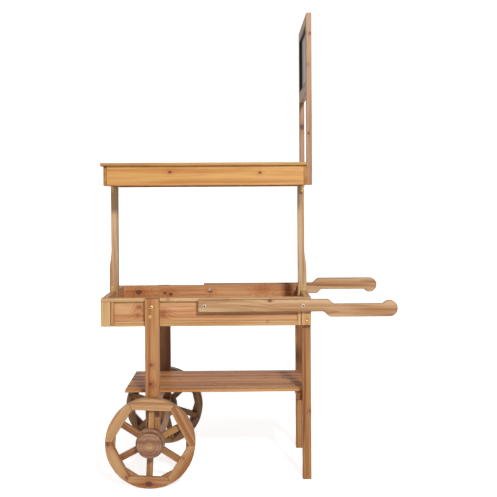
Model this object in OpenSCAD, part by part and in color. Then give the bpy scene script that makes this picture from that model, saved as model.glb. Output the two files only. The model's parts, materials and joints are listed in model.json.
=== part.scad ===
// Two-wheeled wooden vending cart with a tray, a slatted lower shelf, an upper shelf on two
// posts and a chalkboard sign. -X is the wheel end, +X the handle end, -Y the left side,
// +Y the right side and Z = 0 the floor. The origin is under the middle of the cart.

/* [Tray] */
// Length of the tray over its end boards
tray_length = 800; // [650:10:1000]
// Width of the tray over its side frames
tray_width = 500; // [400:10:640]
// Height of the tray's sides
tray_height = 108; // [95:1:150]
// Height of the tray's top edge above the floor
tray_top_height = 704; // [600:1:860]
// Thickness of the side panels
panel_thickness = 12; // [9:0.5:16]
// Thickness of the frame strips laid on the side panels
strip_thickness = 12; // [9:0.5:15]
// Thickness of the tray's two end boards
end_board_thickness = 24; // [18:1:30]
// Height of the frame strip along the top of each side
top_strip_height = 14; // [10:1:20]
// Height of the frame strip along the bottom of each side
bottom_strip_height = 20; // [14:1:26]
// Width of the upright frame strip at each corner
corner_strip_width = 37; // [30:1:46]
// Width of the narrow strip beside each corner strip
inner_strip_width = 12; // [8:1:18]
// Thickness of the narrow strip
inner_strip_thickness = 10; // [7:0.5:12]
// Gap between the corner strip and the narrow strip
strip_gap = 1.5; // [1:0.5:3]
// Thickness of the floor boards
floor_thickness = 10; // [8:1:14]
// Gap between two floor boards
floor_gap = 4; // [2:0.5:8]
// Section of the battens under the floor
floor_batten = 20; // [15:1:26]

/* [Legs and axle] */
// Width of a wheel leg along the cart
wheel_leg_width = 54; // [44:1:66]
// Thickness of a wheel leg across the cart
wheel_leg_depth = 30; // [24:1:38]
// Distance from the tray's front end to the middle of the wheel legs
wheel_leg_offset = 196; // [160:1:240]
// Distance of the axle in front of the middle of the wheel legs
axle_lead = 5; // [0:0.5:10]
// Section of a rear leg
rear_leg_size = 33; // [28:1:40]
// Height over which a rear leg reaches up inside the tray
rear_leg_reach = 50; // [40:1:58]
// Diameter of the steel axle rod
axle_diameter = 10; // [8:0.5:12]
// Height of the axle beam above the axle's centre
beam_above_axle = 43; // [30:1:55]
// Depth of the axle beam and of the legs' feet below the axle's centre
beam_below_axle = 32; // [24:1:40]
// Thickness of the axle nuts
axle_nut_thickness = 8; // [6:0.5:10]
// Thickness of the washers under the axle nuts
axle_washer_thickness = 2; // [1.5:0.5:3]

/* [Wheels] */
// Diameter of a wheel
wheel_diameter = 336; // [290:1:420]
// Thickness of one of the two layers of rim pieces
felloe_thickness = 19; // [15:1:24]
// Distance from the wheel's centre to the straight inner edges of the outer layer
outer_felloe_chord = 124; // [110:1:128]
// Distance from the wheel's centre to the straight inner edges of the inner layer
inner_felloe_chord = 133; // [128:1:138]
// Gap at the joints between rim pieces
felloe_gap = 0.6; // [0.4:0.1:1.5]
// Width of a spoke
spoke_width = 23.5; // [18:0.5:28]
// Distance from the wheel's centre to the root of a spoke
spoke_root = 30; // [28:1:38]
// Radius of the hub at the spokes
hub_radius = 54; // [50:1:60]
// Radius of the hub's turned nose
hub_nose_radius = 47; // [40:1:49]
// Length of the hub's nose beyond the rim
hub_nose_length = 30; // [24:1:40]
// Radius of the wooden cap in the hub
hub_cap_radius = 12; // [11:0.5:15]
// Depth of the recess for the axle nut
hub_recess_depth = 22; // [21:0.5:26]
// Thickness of the wooden cap inside the recess
hub_cap_thickness = 7; // [5:0.5:8]
// Height of the wooden cap's dome beyond the hub
hub_cap_dome = 2; // [1:0.5:4]
// Gap between a wheel leg and its wheel
wheel_gap = 14; // [4:0.5:24]
// Turn of the left wheel at rest in degrees
left_wheel_turn = -2.6; // [-30:0.1:30]
// Turn of the right wheel at rest in degrees
right_wheel_turn = 12.5; // [-30:0.1:30]

/* [Lower shelf] */
// Height of the lower shelf's top above the floor
shelf_top_height = 341; // [320:1:420]
// Thickness of the slats
slat_thickness = 12; // [9:0.5:16]
// Gap between two slats
slat_gap = 9; // [5:0.5:14]
// Clearance between the outer slats and the rear legs
shelf_side_clearance = 12; // [5:1:25]
// Overhang of the slats in front of the wheel legs
slat_overhang = 88; // [40:1:90]
// Height of the bars under the slats
shelf_bar_height = 32; // [24:1:38]
// Width of the bar under the slats at the rear legs
rear_bar_width = 52; // [40:1:60]

/* [Upper shelf] */
// Height of the upper shelf's top above the floor
top_height = 1218; // [1100:1:1400]
// Thickness of the planks
plank_thickness = 12; // [9:0.5:16]
// Gap between two planks
plank_gap = 2; // [1:0.5:5]
// Overhang of the planks at each side
plank_overhang = 11; // [0:1:20]
// Height of the boards around the upper shelf
top_board_height = 75; // [65:1:90]
// Thickness of the boards around the upper shelf
top_board_thickness = 12; // [9:0.5:15]
// Width of the upper shelf over its boards
top_width = 460; // [380:5:500]
// Height of the batten under the planks
top_batten_height = 20; // [14:1:30]
// Width of the batten under the planks
top_batten_width = 30; // [20:1:50]

/* [Posts] */
// Distance of the upper shelf's ends inside the tray's ends
top_inset = 11; // [8:1:16]
// Thickness of a post along the cart
post_thickness = 26; // [22:1:32]
// Width of a post across the cart
post_width = 40; // [32:1:56]
// Distance by which a post's foot flares out
post_flare = 8; // [4:1:14]
// Height of the flare's lower end above the tray
flare_start = 85; // [35:1:100]
// Height of the flare's upper end above the tray
flare_end = 170; // [120:1:200]
// Length of the tongues at a post's two ends
post_tongue = 55; // [40:1:60]
// Width of the brass angle brackets
bracket_width = 12; // [10:0.5:12]
// Length of each leaf of a bracket
bracket_leaf = 24; // [18:1:34]
// Thickness of a bracket's leaf
bracket_thickness = 2; // [1.5:0.5:3]

/* [Sign] */
// Height of the sign's top above the floor
sign_top_height = 1790; // [1650:5:1900]
// Width of the sign over its uprights
sign_width = 440; // [360:5:460]
// Thickness of the sign's frame along the cart
sign_thickness = 20; // [17:1:26]
// Width of the uprights and rails
sign_strip_width = 40; // [30:1:50]
// Height of the opening for the chalkboard
chalkboard_height = 222; // [180:1:260]
// Thickness of the chalkboard
chalkboard_thickness = 4; // [3:0.5:6]
// Depth of the recess in front of the chalkboard
chalkboard_recess = 10; // [8:0.5:12]
// Width of the dark beads around the chalkboard
bead_width = 4; // [3:0.5:8]
// Gap at the corners between beads
bead_gap = 0.4; // [0.3:0.1:1]

/* [Handles] */
// Length of a handle along the tray's side
handle_root_length = 430; // [360:5:500]
// Height of a handle on the tray's side
handle_root_height = 47; // [40:1:52]
// Thickness of a handle
handle_thickness = 19; // [15:1:26]
// Distance from the tray's top edge down to the left handle's top
handle_setdown = 6.5; // [6:0.5:15]
// Height of the right handle's top above the tray's top edge
right_handle_rise = 6; // [0:0.5:8]
// Height of the grip
grip_height = 49.5; // [36:0.5:52]
// Offset of the grip's centre line from the root's centre line
grip_offset = 19; // [8:1:26]
// Distance from the tray's rear end to the middle of the knob
knob_distance = 296; // [250:5:360]
// Radius of the knob at the grip's end
knob_radius = 31; // [28:1:38]

/* [Fasteners] */
// Diameter of the handle bolts
bolt_diameter = 6; // [5:0.5:8]
// Radius of the handle bolts' domed heads
bolt_head_radius = 7.5; // [6:0.5:9]
// Distance from a handle's front end to its front bolt
front_bolt_inset = 25; // [18:1:40]
// Clearance between the washer of a rear bolt and the end board
bolt_washer_clearance = 1; // [0.5:0.5:3]
// Diameter of a wood screw's shank
screw_diameter = 4; // [3:0.5:5]
// Radius of a wood screw's head
screw_head_radius = 4.5; // [3.5:0.5:5]
// Radius of the heads of the screws in the legs
leg_screw_head_radius = 6; // [4:0.5:7]
// Height of a wood screw's domed head
screw_head_height = 2; // [1.5:0.5:3]

/* [Fits] */
// Radial running clearance of the hubs on the axle rod
running_clearance = 0.05; // [0.02:0.01:0.1]
// Play of the hubs along the axle rod
axle_play = 0.3; // [0.3:0.1:1]
// Radial clearance of rods, bolts and screws in fixed pieces
hole_clearance = 0.25; // [0.1:0.05:0.5]
// Clearance of joints cut around another piece
joint_clearance = 0.5; // [0.3:0.1:1]

/* [Hidden] */
$fn = 64;
floor_board_count = 5;
slat_count = 6;
plank_count = 5;
spoke_count = 6;

// Colours
panel_color = [0.78, 0.58, 0.40];
strip_color = [0.82, 0.64, 0.47];
leg_color = [0.74, 0.53, 0.34];
slat_color = [0.66, 0.49, 0.34];
top_color = [0.85, 0.65, 0.40];
wheel_color = [0.68, 0.49, 0.32];
hub_color = [0.64, 0.50, 0.42];
board_color = [0.24, 0.25, 0.24];
bead_color = [0.06, 0.05, 0.05];
brass_color = [0.80, 0.64, 0.32];
steel_color = [0.66, 0.67, 0.68];

// Places along the cart
wheel_radius = wheel_diameter / 2;
front_reach = max(0, wheel_radius + axle_lead - wheel_leg_offset);
handle_reach = knob_distance + knob_radius;
overall_length = front_reach + tray_length + handle_reach;
tray_x0 = front_reach - overall_length / 2;
tray_x1 = tray_x0 + tray_length;
wheel_leg_x = tray_x0 + wheel_leg_offset;
axle_x = wheel_leg_x - axle_lead;
wheel_leg_x0 = wheel_leg_x - wheel_leg_width / 2;
wheel_leg_x1 = wheel_leg_x + wheel_leg_width / 2;
rear_leg_x0 = tray_x1 - rear_leg_size;
top_x0 = tray_x0 + top_inset;
top_x1 = tray_x1 - top_inset;
sign_x1 = top_x1 + sign_thickness;
post_inner = post_flare + post_thickness;

// Places across the cart
face_y = tray_width / 2;
panel_outer_y = face_y - strip_thickness;
panel_inner_y = panel_outer_y - panel_thickness;
wheel_leg_y = panel_outer_y + wheel_leg_depth;
wheel_y = wheel_leg_y + wheel_gap;
hub_length = 2 * felloe_thickness + hub_nose_length;
recess_floor = hub_length - hub_recess_depth;
rear_leg_y = panel_inner_y - rear_leg_size;
shelf_y = rear_leg_y - shelf_side_clearance;
sign_y = sign_width / 2;
sign_opening_y = sign_y - sign_strip_width;

// Heights
tray_z0 = tray_top_height - tray_height;
axle_z = wheel_radius;
slat_z0 = shelf_top_height - slat_thickness;
bar_z0 = slat_z0 - shelf_bar_height;
top_z0 = top_height - plank_thickness - top_board_height;
plank_z0 = top_height - plank_thickness;
left_handle_z = tray_top_height - handle_setdown - handle_root_height / 2;
right_handle_z = tray_top_height + right_handle_rise - handle_root_height / 2;
opening_z1 = sign_top_height - sign_strip_width;
opening_z0 = opening_z1 - chalkboard_height;

// Radii of rods, screws and bolts with their holes
axle_radius = axle_diameter / 2;
screw_radius = screw_diameter / 2;
bolt_radius = bolt_diameter / 2;
axle_washer_radius = axle_diameter;
bolt_washer_radius = bolt_diameter;
bolt_washer_thickness = 1.6;
bolt_nut_height = 5;
bolt_end_length = 2;
nut_ratio = 1.85 / sqrt(3);

// Places of the screws and bolts
leg_screw_drops = [33, 69];
leg_screw_shifts = [-1, -7];
rear_screw_heights = [14, 36];
sign_screw_heights = [18, 57];
rear_bolt_inset = end_board_thickness + bolt_washer_radius + bolt_washer_clearance;
bolt_xs = [tray_x1 - handle_root_length + front_bolt_inset, tray_x1 - rear_bolt_inset];
wheel_screw_length = wheel_leg_depth + panel_thickness - 1;
rear_screw_length = strip_thickness + panel_thickness + rear_leg_size * 0.6;
slat_screw_length = slat_thickness + shelf_bar_height * 0.6;
sign_screw_length = sign_thickness + top_board_thickness - 1;
bolt_grip = handle_thickness + strip_thickness + panel_thickness;
bolt_top_z = tray_top_height - top_strip_height - bolt_washer_radius - bolt_washer_clearance;

// A block between two corners
module block(low, high) {
  translate(low) cube(high - low);
}

// Children drawn at -Y, kept there for side -1 and mirrored for side 1
module on_side(side) {
  if (side < 0) children();
  else mirror([0, 1, 0]) children();
}

// Children drawn at the front end, mirrored to the rear end of the tray for end 1
module on_end(end) {
  if (end < 0) children();
  else translate([tray_x0 + tray_x1, 0, 0]) mirror([1, 0, 0]) children();
}

// A hole through everything along Y at a place in the side view
module side_hole(x, z, radius) {
  translate([x, 0, z]) rotate([90, 0, 0])
    cylinder(r = radius, h = tray_width + 4 * wheel_leg_depth, center = true);
}

// A wood screw with its head on Z = 0 and its shank down to -length
module wood_screw(length, head = screw_head_radius) {
  rotate_extrude() polygon([
    [0, -length], [screw_radius, -length + screw_diameter], [screw_radius, 0],
    [head, 0], [head * 0.7, screw_head_height],
    [0, screw_head_height]
  ]);
}

// A countersunk screw with its flat head flush with Z = 0, made larger all round by grow
module flat_screw(length, grow = 0) {
  head = screw_head_radius + grow;
  shank = screw_radius + grow;
  rotate_extrude() polygon([
    [0, -length - grow], [shank, -length - grow], [shank, shank - head], [head, 0], [0, 0]
  ]);
}

// ---- Tray ----

module panel(side) {
  color(panel_color) on_side(side) difference() {
    block([tray_x0, -panel_outer_y, tray_z0], [tray_x1, -panel_inner_y, tray_top_height]);
    at_wheel_leg_screws() side_hole(0, 0, screw_radius + hole_clearance);
    at_rear_leg_screws() side_hole(0, 0, screw_radius + hole_clearance);
    at_bolts(side) side_hole(0, 0, bolt_radius + hole_clearance);
  }
}

// The strip along one edge of a side, cut around the wheel leg
module edge_strip(side, x_inset, z0, z1) {
  color(strip_color) on_side(side) {
    block([tray_x0 + x_inset, -face_y, z0], [wheel_leg_x0, -panel_outer_y, z1]);
    block([wheel_leg_x1, -face_y, z0], [tray_x1 - x_inset, -panel_outer_y, z1]);
  }
}

module top_strip(side) {
  edge_strip(side, 0, tray_top_height - top_strip_height, tray_top_height);
}

module bottom_strip(side) {
  inset = corner_strip_width + strip_gap + inner_strip_width;
  edge_strip(side, inset, tray_z0, tray_z0 + bottom_strip_height);
}

module corner_strips(side) {
  z1 = tray_top_height - top_strip_height;
  inner_y = -panel_outer_y - inner_strip_thickness;
  x1 = tray_x0 + corner_strip_width;
  x2 = x1 + strip_gap;
  color(strip_color) on_side(side) difference() {
    for (end = [-1, 1]) on_end(end) {
      block([tray_x0, -face_y, tray_z0], [x1, -panel_outer_y, z1]);
      block([x2, inner_y, tray_z0], [x2 + inner_strip_width, -panel_outer_y, z1]);
    }
    at_rear_leg_screws() side_hole(0, 0, screw_radius + hole_clearance);
    at_bolts(side) side_hole(0, 0, bolt_radius + hole_clearance);
  }
}

module end_board(end) {
  leg_top = tray_z0 + rear_leg_reach + joint_clearance;
  color(panel_color) difference() {
    on_end(end) block(
      [tray_x0, -panel_inner_y, tray_z0],
      [tray_x0 + end_board_thickness, panel_inner_y, tray_top_height]
    );
    for (side = [-1, 1]) on_side(side) block(
      [rear_leg_x0 - joint_clearance, -panel_inner_y - 1, tray_z0 - 1],
      [tray_x1 + 1, -rear_leg_y + joint_clearance, leg_top]
    );
  }
}

module tray_floor() {
  z0 = tray_z0 + floor_batten;
  board = (2 * panel_inner_y - (floor_board_count - 1) * floor_gap) / floor_board_count;
  color(panel_color) difference() {
    for (i = [0 : floor_board_count - 1]) {
      y0 = -panel_inner_y + i * (board + floor_gap);
      block(
        [tray_x0 + end_board_thickness, y0, z0],
        [tray_x1 - end_board_thickness, y0 + board, z0 + floor_thickness]
      );
    }
    for (side = [-1, 1]) on_side(side) block(
      [rear_leg_x0 - joint_clearance, -panel_inner_y - 1, z0 - 1],
      [tray_x1, -rear_leg_y + joint_clearance, z0 + floor_thickness + 1]
    );
  }
}

module floor_battens() {
  z1 = tray_z0 + floor_batten;
  middle = (tray_x0 + tray_x1 - floor_batten) / 2;
  rear_y = rear_leg_y - joint_clearance;
  color(leg_color) {
    block(
      [tray_x0 + end_board_thickness, -panel_inner_y, tray_z0],
      [tray_x0 + end_board_thickness + floor_batten, panel_inner_y, z1]
    );
    block([middle, -panel_inner_y, tray_z0], [middle + floor_batten, panel_inner_y, z1]);
    block(
      [tray_x1 - end_board_thickness - floor_batten, -rear_y, tray_z0],
      [tray_x1 - end_board_thickness, rear_y, z1]
    );
  }
}

// ---- Legs and axle ----

module at_wheel_leg_screws() {
  for (i = [0, 1])
    translate([wheel_leg_x + leg_screw_shifts[i], 0, tray_top_height - leg_screw_drops[i]]) children();
}

module at_rear_leg_screws() {
  for (height = rear_screw_heights)
    translate([tray_x1 - rear_leg_size / 2, 0, tray_z0 + height]) children();
}

module wheel_leg(side) {
  color(leg_color) on_side(side) difference() {
    block(
      [wheel_leg_x0, -wheel_leg_y, axle_z - beam_below_axle],
      [wheel_leg_x1, -panel_outer_y, tray_top_height]
    );
    side_hole(axle_x, axle_z, axle_radius + hole_clearance);
    at_wheel_leg_screws() side_hole(0, 0, screw_radius + hole_clearance);
  }
}

module rear_leg(side) {
  color(leg_color) on_side(side) difference() {
    block([rear_leg_x0, -panel_inner_y, 0], [tray_x1, -rear_leg_y, tray_z0 + rear_leg_reach]);
    at_rear_leg_screws() side_hole(0, 0, screw_radius + hole_clearance);
  }
}

module axle_beam() {
  color(leg_color) difference() {
    block(
      [wheel_leg_x0, -panel_outer_y, axle_z - beam_below_axle],
      [wheel_leg_x1, panel_outer_y, axle_z + beam_above_axle]
    );
    side_hole(axle_x, axle_z, axle_radius + hole_clearance);
  }
}

// Children stand on the axle at the left or right wheel, their +Z pointing outwards
module at_wheel(side, turn = 0) {
  translate([axle_x, 0, axle_z]) on_side(side)
    translate([0, -wheel_y, 0]) rotate([90, 0, 0]) rotate([0, 0, turn]) children();
}

washer_z = recess_floor + axle_play;
axle_nut_z = washer_z + axle_washer_thickness;
axle_end_z = axle_nut_z + axle_nut_thickness + 1;

module axle_rod() {
  color(steel_color) translate([axle_x, 0, axle_z]) rotate([90, 0, 0])
    cylinder(r = axle_radius, h = 2 * (wheel_y + axle_end_z), center = true);
}

module ring(radius, z, height) {
  translate([0, 0, z]) difference() {
    cylinder(r = radius, h = height);
    translate([0, 0, -1]) cylinder(r = axle_radius + hole_clearance, h = height + 2);
  }
}

module axle_washers() {
  color(steel_color) for (side = [-1, 1]) at_wheel(side) {
    ring(axle_washer_radius, washer_z, axle_washer_thickness);
    ring(axle_washer_radius * 1.6, -wheel_gap, wheel_gap - axle_play);
  }
}

module axle_nuts() {
  color(steel_color) for (side = [-1, 1]) at_wheel(side)
    translate([0, 0, axle_nut_z]) difference() {
      cylinder(r = axle_diameter * nut_ratio * 0.92, h = axle_nut_thickness, $fn = 6);
      translate([0, 0, -1])
        cylinder(r = axle_radius + hole_clearance / 2, h = axle_nut_thickness + 2);
    }
}

// ---- Wheels ----

// Rim pieces, round outside and straight inside, the first one centred on the angle first
module felloes(side, first, chord, z0) {
  half = 180 / spoke_count;
  far = wheel_diameter;
  gap = felloe_gap / 2 / cos(half);
  color(wheel_color) at_wheel(side, first) translate([0, 0, z0])
    for (i = [0 : spoke_count - 1]) rotate([0, 0, i * 2 * half])
      linear_extrude(felloe_thickness) intersection() {
        circle(r = wheel_radius);
        polygon([
          [chord, gap - chord * tan(half)], [far, gap - far * tan(half)],
          [far, far * tan(half) - gap], [chord, chord * tan(half) - gap]
        ]);
      }
}

// The outer pieces meet between the spokes and the inner ones meet on them
module outer_felloes(side, turn) {
  felloes(side, turn + 180 / spoke_count, outer_felloe_chord, felloe_thickness);
}

module inner_felloes(side, turn) {
  felloes(side, turn, inner_felloe_chord, 0);
}

// Spokes run from slots in the hub to the corners of the inner layer
module spokes(side, turn) {
  half = spoke_width / 2;
  rise = tan(180 / spoke_count);
  tip = (inner_felloe_chord - felloe_gap) / cos(180 / spoke_count);
  color(wheel_color) at_wheel(side, turn)
    for (i = [0 : spoke_count - 1]) rotate([0, 0, (i + 0.5) * 360 / spoke_count])
      linear_extrude(felloe_thickness) polygon([
        [spoke_root, -half], [tip - half * rise, -half], [tip, 0],
        [tip - half * rise, half], [spoke_root, half]
      ]);
}

module hub(side, turn) {
  bore = axle_radius + running_clearance;
  shoulder = 2 * felloe_thickness + 2;
  edge = 5;
  slot = spoke_width + joint_clearance;
  color(hub_color) at_wheel(side, turn) difference() {
    rotate_extrude() polygon(concat(
      [[bore, 0], [hub_radius, 0], [hub_radius, shoulder - 3], [hub_radius - 3, shoulder]],
      [[hub_nose_radius, shoulder]],
      [for (a = [0 : 15 : 90])
        [hub_nose_radius - edge + edge * cos(a), hub_length - edge + edge * sin(a)]],
      [for (r = [hub_nose_radius * 0.78, hub_nose_radius * 0.52])
        for (p = [[1.5, 0], [0, -1.5], [-1.5, 0]]) [r + p[0], hub_length + p[1]]],
      [[hub_cap_radius, hub_length], [hub_cap_radius, recess_floor], [bore, recess_floor]]
    ));
    for (i = [0 : spoke_count - 1]) rotate([0, 0, (i + 0.5) * 360 / spoke_count])
      translate([spoke_root - joint_clearance, -slot / 2, -1])
        cube([hub_radius, slot, felloe_thickness + 1]);
  }
}

module hub_cap(side) {
  color(hub_color) at_wheel(side) translate([0, 0, hub_length]) rotate_extrude() polygon([
    [0, -hub_cap_thickness], [hub_cap_radius, -hub_cap_thickness], [hub_cap_radius, 0],
    [hub_cap_radius * 0.8, hub_cap_dome * 0.6], [hub_cap_radius * 0.4, hub_cap_dome],
    [0, hub_cap_dome]
  ]);
}

// ---- Lower shelf ----

slat_width = (2 * shelf_y - (slat_count - 1) * slat_gap) / slat_count;

function slat_y(i) = -shelf_y + (i - 1) * (slat_width + slat_gap);

module at_slat_screw(i) {
  for (x = [wheel_leg_x, tray_x1 - rear_bar_width / 2])
    translate([x, slat_y(i) + slat_width / 2, shelf_top_height]) children();
}

module shelf_slat(i) {
  color(slat_color) difference() {
    block(
      [wheel_leg_x0 - slat_overhang, slat_y(i), slat_z0],
      [tray_x1, slat_y(i) + slat_width, shelf_top_height]
    );
    at_slat_screw(i) flat_screw(slat_screw_length, hole_clearance);
  }
}

module shelf_bar(x0, x1, half_length) {
  color(leg_color) difference() {
    block([x0, -half_length, bar_z0], [x1, half_length, slat_z0]);
    for (i = [1 : slat_count]) at_slat_screw(i) flat_screw(slat_screw_length, hole_clearance);
  }
}

module front_shelf_bar() {
  shelf_bar(wheel_leg_x0, wheel_leg_x1, panel_outer_y);
}

module rear_shelf_bar() {
  shelf_bar(tray_x1 - rear_bar_width, tray_x1, rear_leg_y);
}

module slat_screws() {
  color(steel_color) for (i = [1 : slat_count]) at_slat_screw(i) flat_screw(slat_screw_length);
}

// ---- Posts and upper shelf ----

// A post stands on the end board with a tongue inside it, and carries the upper shelf likewise
module post(end) {
  flare_steps = 12;
  smooth = function(t) t * t * (3 - 2 * t);
  outline = concat(
    [[end_board_thickness, tray_top_height], [end_board_thickness, tray_top_height - post_tongue],
      [post_inner, tray_top_height - post_tongue], [post_inner, top_z0 + post_tongue],
      [top_inset + top_board_thickness, top_z0 + post_tongue],
      [top_inset + top_board_thickness, top_z0], [post_flare, top_z0]],
    [for (i = [0 : flare_steps]) let (t = i / flare_steps)
      [post_flare * (1 - smooth(t)),
        tray_top_height + flare_end + t * (flare_start - flare_end)]],
    [[0, tray_top_height]]
  );
  color(leg_color) on_end(end) translate([tray_x0, post_width / 2, 0]) rotate([90, 0, 0])
    linear_extrude(post_width) polygon(outline);
}

// An angle bracket in the corner at X = Y = Z = 0, its leaves along +Y and +Z
module bracket() {
  translate([-bracket_width / 2, 0, 0]) {
    cube([bracket_width, bracket_leaf, bracket_thickness]);
    cube([bracket_width, bracket_thickness, bracket_leaf]);
  }
}

module post_brackets() {
  foot_x = tray_x0 + end_board_thickness / 2;
  head_x = top_x0 + top_board_thickness / 2;
  color(brass_color) for (end = [-1, 1], side = [-1, 1]) on_end(end) on_side(side)
    mirror([0, 1, 0]) {
      translate([foot_x, post_width / 2, tray_top_height]) bracket();
      translate([head_x, post_width / 2, top_z0]) mirror([0, 0, 1]) bracket();
    }
}

module top_side_board(side) {
  color(top_color) on_side(side) block(
    [top_x0 + top_board_thickness, -top_width / 2, top_z0],
    [top_x1 - top_board_thickness, -top_width / 2 + top_board_thickness, plank_z0]
  );
}

module screw_hole(length) {
  translate([0, 0, -length - 1]) cylinder(r = screw_radius + hole_clearance, h = length + 2);
}

module top_end_board(end) {
  color(top_color) difference() {
    on_end(end) block(
      [top_x0, -top_width / 2, top_z0],
      [top_x0 + top_board_thickness, top_width / 2, plank_z0]
    );
    at_sign_screws() screw_hole(sign_screw_length);
  }
}

module top_planks() {
  span = top_width + 2 * plank_overhang;
  plank = (span - (plank_count - 1) * plank_gap) / plank_count;
  color(top_color) for (i = [0 : plank_count - 1]) {
    y0 = -span / 2 + i * (plank + plank_gap);
    block([tray_x0, y0, plank_z0], [top_x1, y0 + plank, top_height]);
  }
}

module top_batten() {
  middle = (top_x0 + top_x1) / 2;
  y1 = top_width / 2 - top_board_thickness;
  color(top_color) block(
    [middle - top_batten_width / 2, -y1, plank_z0 - top_batten_height],
    [middle + top_batten_width / 2, y1, plank_z0]
  );
}

// ---- Sign ----

// Children stand on the outer face of an upright's foot, their +Z pointing to +X
module at_sign_screws() {
  for (side = [-1, 1], height = sign_screw_heights)
    translate([sign_x1, side * (sign_y - sign_strip_width / 2), top_z0 + height])
      rotate([0, 90, 0]) children();
}

module sign_upright(side) {
  color(leg_color) difference() {
    on_side(side) block(
      [top_x1, -sign_y, top_z0],
      [sign_x1, -sign_opening_y, sign_top_height]
    );
    at_sign_screws() screw_hole(sign_screw_length);
  }
}

module sign_rail(z0, z1) {
  color(leg_color) block([top_x1, -sign_opening_y, z0], [sign_x1, sign_opening_y, z1]);
}

module chalkboard() {
  x0 = top_x1 + chalkboard_recess;
  color(board_color) block(
    [x0, -sign_opening_y, opening_z0],
    [x0 + chalkboard_thickness, sign_opening_y, opening_z1]
  );
}

// Dark beads hold the chalkboard from both faces
module chalkboard_beads() {
  board_x0 = top_x1 + chalkboard_recess;
  inner_y = sign_opening_y - bead_width;
  bar_y = inner_y - bead_gap;
  color(bead_color)
    for (x = [[top_x1, board_x0], [board_x0 + chalkboard_thickness, sign_x1]]) {
      for (side = [-1, 1]) on_side(side)
        block([x[0], -sign_opening_y, opening_z0], [x[1], -inner_y, opening_z1]);
      block([x[0], -bar_y, opening_z0], [x[1], bar_y, opening_z0 + bead_width]);
      block([x[0], -bar_y, opening_z1 - bead_width], [x[1], bar_y, opening_z1]);
    }
}

module sign_screws() {
  color(steel_color) at_sign_screws() wood_screw(sign_screw_length);
}

// ---- Handles ----

// The side view of a handle, measured from the tray's rear end and the root's centre line
function handle_outline() =
  let (
    half = handle_root_height / 2,
    grip_top = grip_height / 2 - grip_offset,
    grip_bottom = -grip_height / 2 - grip_offset,
    knob_z = grip_bottom + knob_radius,
    knob_end = 180 - asin((grip_top - knob_z) / knob_radius),
    smooth = function(t) t * t * (3 - 2 * t),
    lower_step = [42, 72],
    upper_step = [88, 61],
    steps = 10
  )
  concat(
    [[-handle_root_length, half], [-handle_root_length, -half]],
    [for (i = [0 : steps]) let (t = i / steps)
      [lower_step[0] + t * (lower_step[1] - lower_step[0]),
        -half + smooth(t) * (grip_bottom + half)]],
    [for (a = [-90 : 7.5 : knob_end - 2])
      [knob_distance + knob_radius * cos(a), knob_z + knob_radius * sin(a)]],
    [[knob_distance + knob_radius * cos(knob_end), grip_top]],
    [for (i = [0 : steps]) let (t = i / steps)
      [upper_step[0] + t * (upper_step[1] - upper_step[0]),
        grip_top + smooth(t) * (half - grip_top)]]
  );

function handle_z(side) = side < 0 ? left_handle_z : right_handle_z;

// The bolts are on the root's centre line, or just below the top strip where that is lower
module at_bolts(side) {
  for (x = bolt_xs) translate([x, 0, min(handle_z(side), bolt_top_z)]) children();
}

// The right handle is the same piece as the left one, turned over
module handle(side) {
  color(strip_color) on_side(side) difference() {
    translate([tray_x1, -face_y, handle_z(side)]) mirror([0, 0, side < 0 ? 0 : 1])
      rotate([90, 0, 0]) linear_extrude(handle_thickness) polygon(handle_outline());
    at_bolts(side) side_hole(0, 0, bolt_radius + hole_clearance);
  }
}

// Blocks that fill the panel's recess behind the handles' front bolts
module handle_packers() {
  color(panel_color) for (side = [-1, 1]) on_side(side) difference() {
    block(
      [bolt_xs[0] - front_bolt_inset, -face_y, handle_z(side) - handle_root_height / 2],
      [bolt_xs[0] + front_bolt_inset, -panel_outer_y, tray_top_height - top_strip_height]
    );
    at_bolts(side) side_hole(0, 0, bolt_radius + hole_clearance);
  }
}

// A bolt with its head on Z = 0, and its washer and nut on the far side of the grip
module handle_bolt() {
  nut_z = bolt_grip + bolt_washer_thickness;
  end_z = nut_z + bolt_nut_height + bolt_end_length;
  rotate_extrude() polygon([
    [0, -end_z], [bolt_radius, -end_z],
    [bolt_radius, 0], [bolt_head_radius, 0], [bolt_head_radius * 0.75, 2.6],
    [bolt_head_radius * 0.35, 3.6], [0, 3.6]
  ]);
  translate([0, 0, -nut_z]) difference() {
    cylinder(r = bolt_washer_radius, h = bolt_washer_thickness);
    translate([0, 0, -1])
      cylinder(r = bolt_radius + hole_clearance, h = bolt_washer_thickness + 2);
  }
  translate([0, 0, -nut_z - bolt_nut_height]) difference() {
    cylinder(r = bolt_diameter * nut_ratio * 0.9, h = bolt_nut_height - joint_clearance, $fn = 6);
    translate([0, 0, -1]) cylinder(r = bolt_radius + hole_clearance, h = bolt_nut_height + 2);
  }
}

module handle_bolts() {
  color(steel_color) for (side = [-1, 1]) on_side(side) at_bolts(side)
    translate([0, -face_y - handle_thickness, 0]) rotate([90, 0, 0]) handle_bolt();
}

module leg_screws() {
  color(brass_color) for (side = [-1, 1]) on_side(side) {
    at_wheel_leg_screws() translate([0, -wheel_leg_y, 0]) rotate([90, 0, 0])
      wood_screw(wheel_screw_length, leg_screw_head_radius);
    at_rear_leg_screws() translate([0, -face_y, 0]) rotate([90, 0, 0])
      wood_screw(rear_screw_length, leg_screw_head_radius);
  }
}

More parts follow.
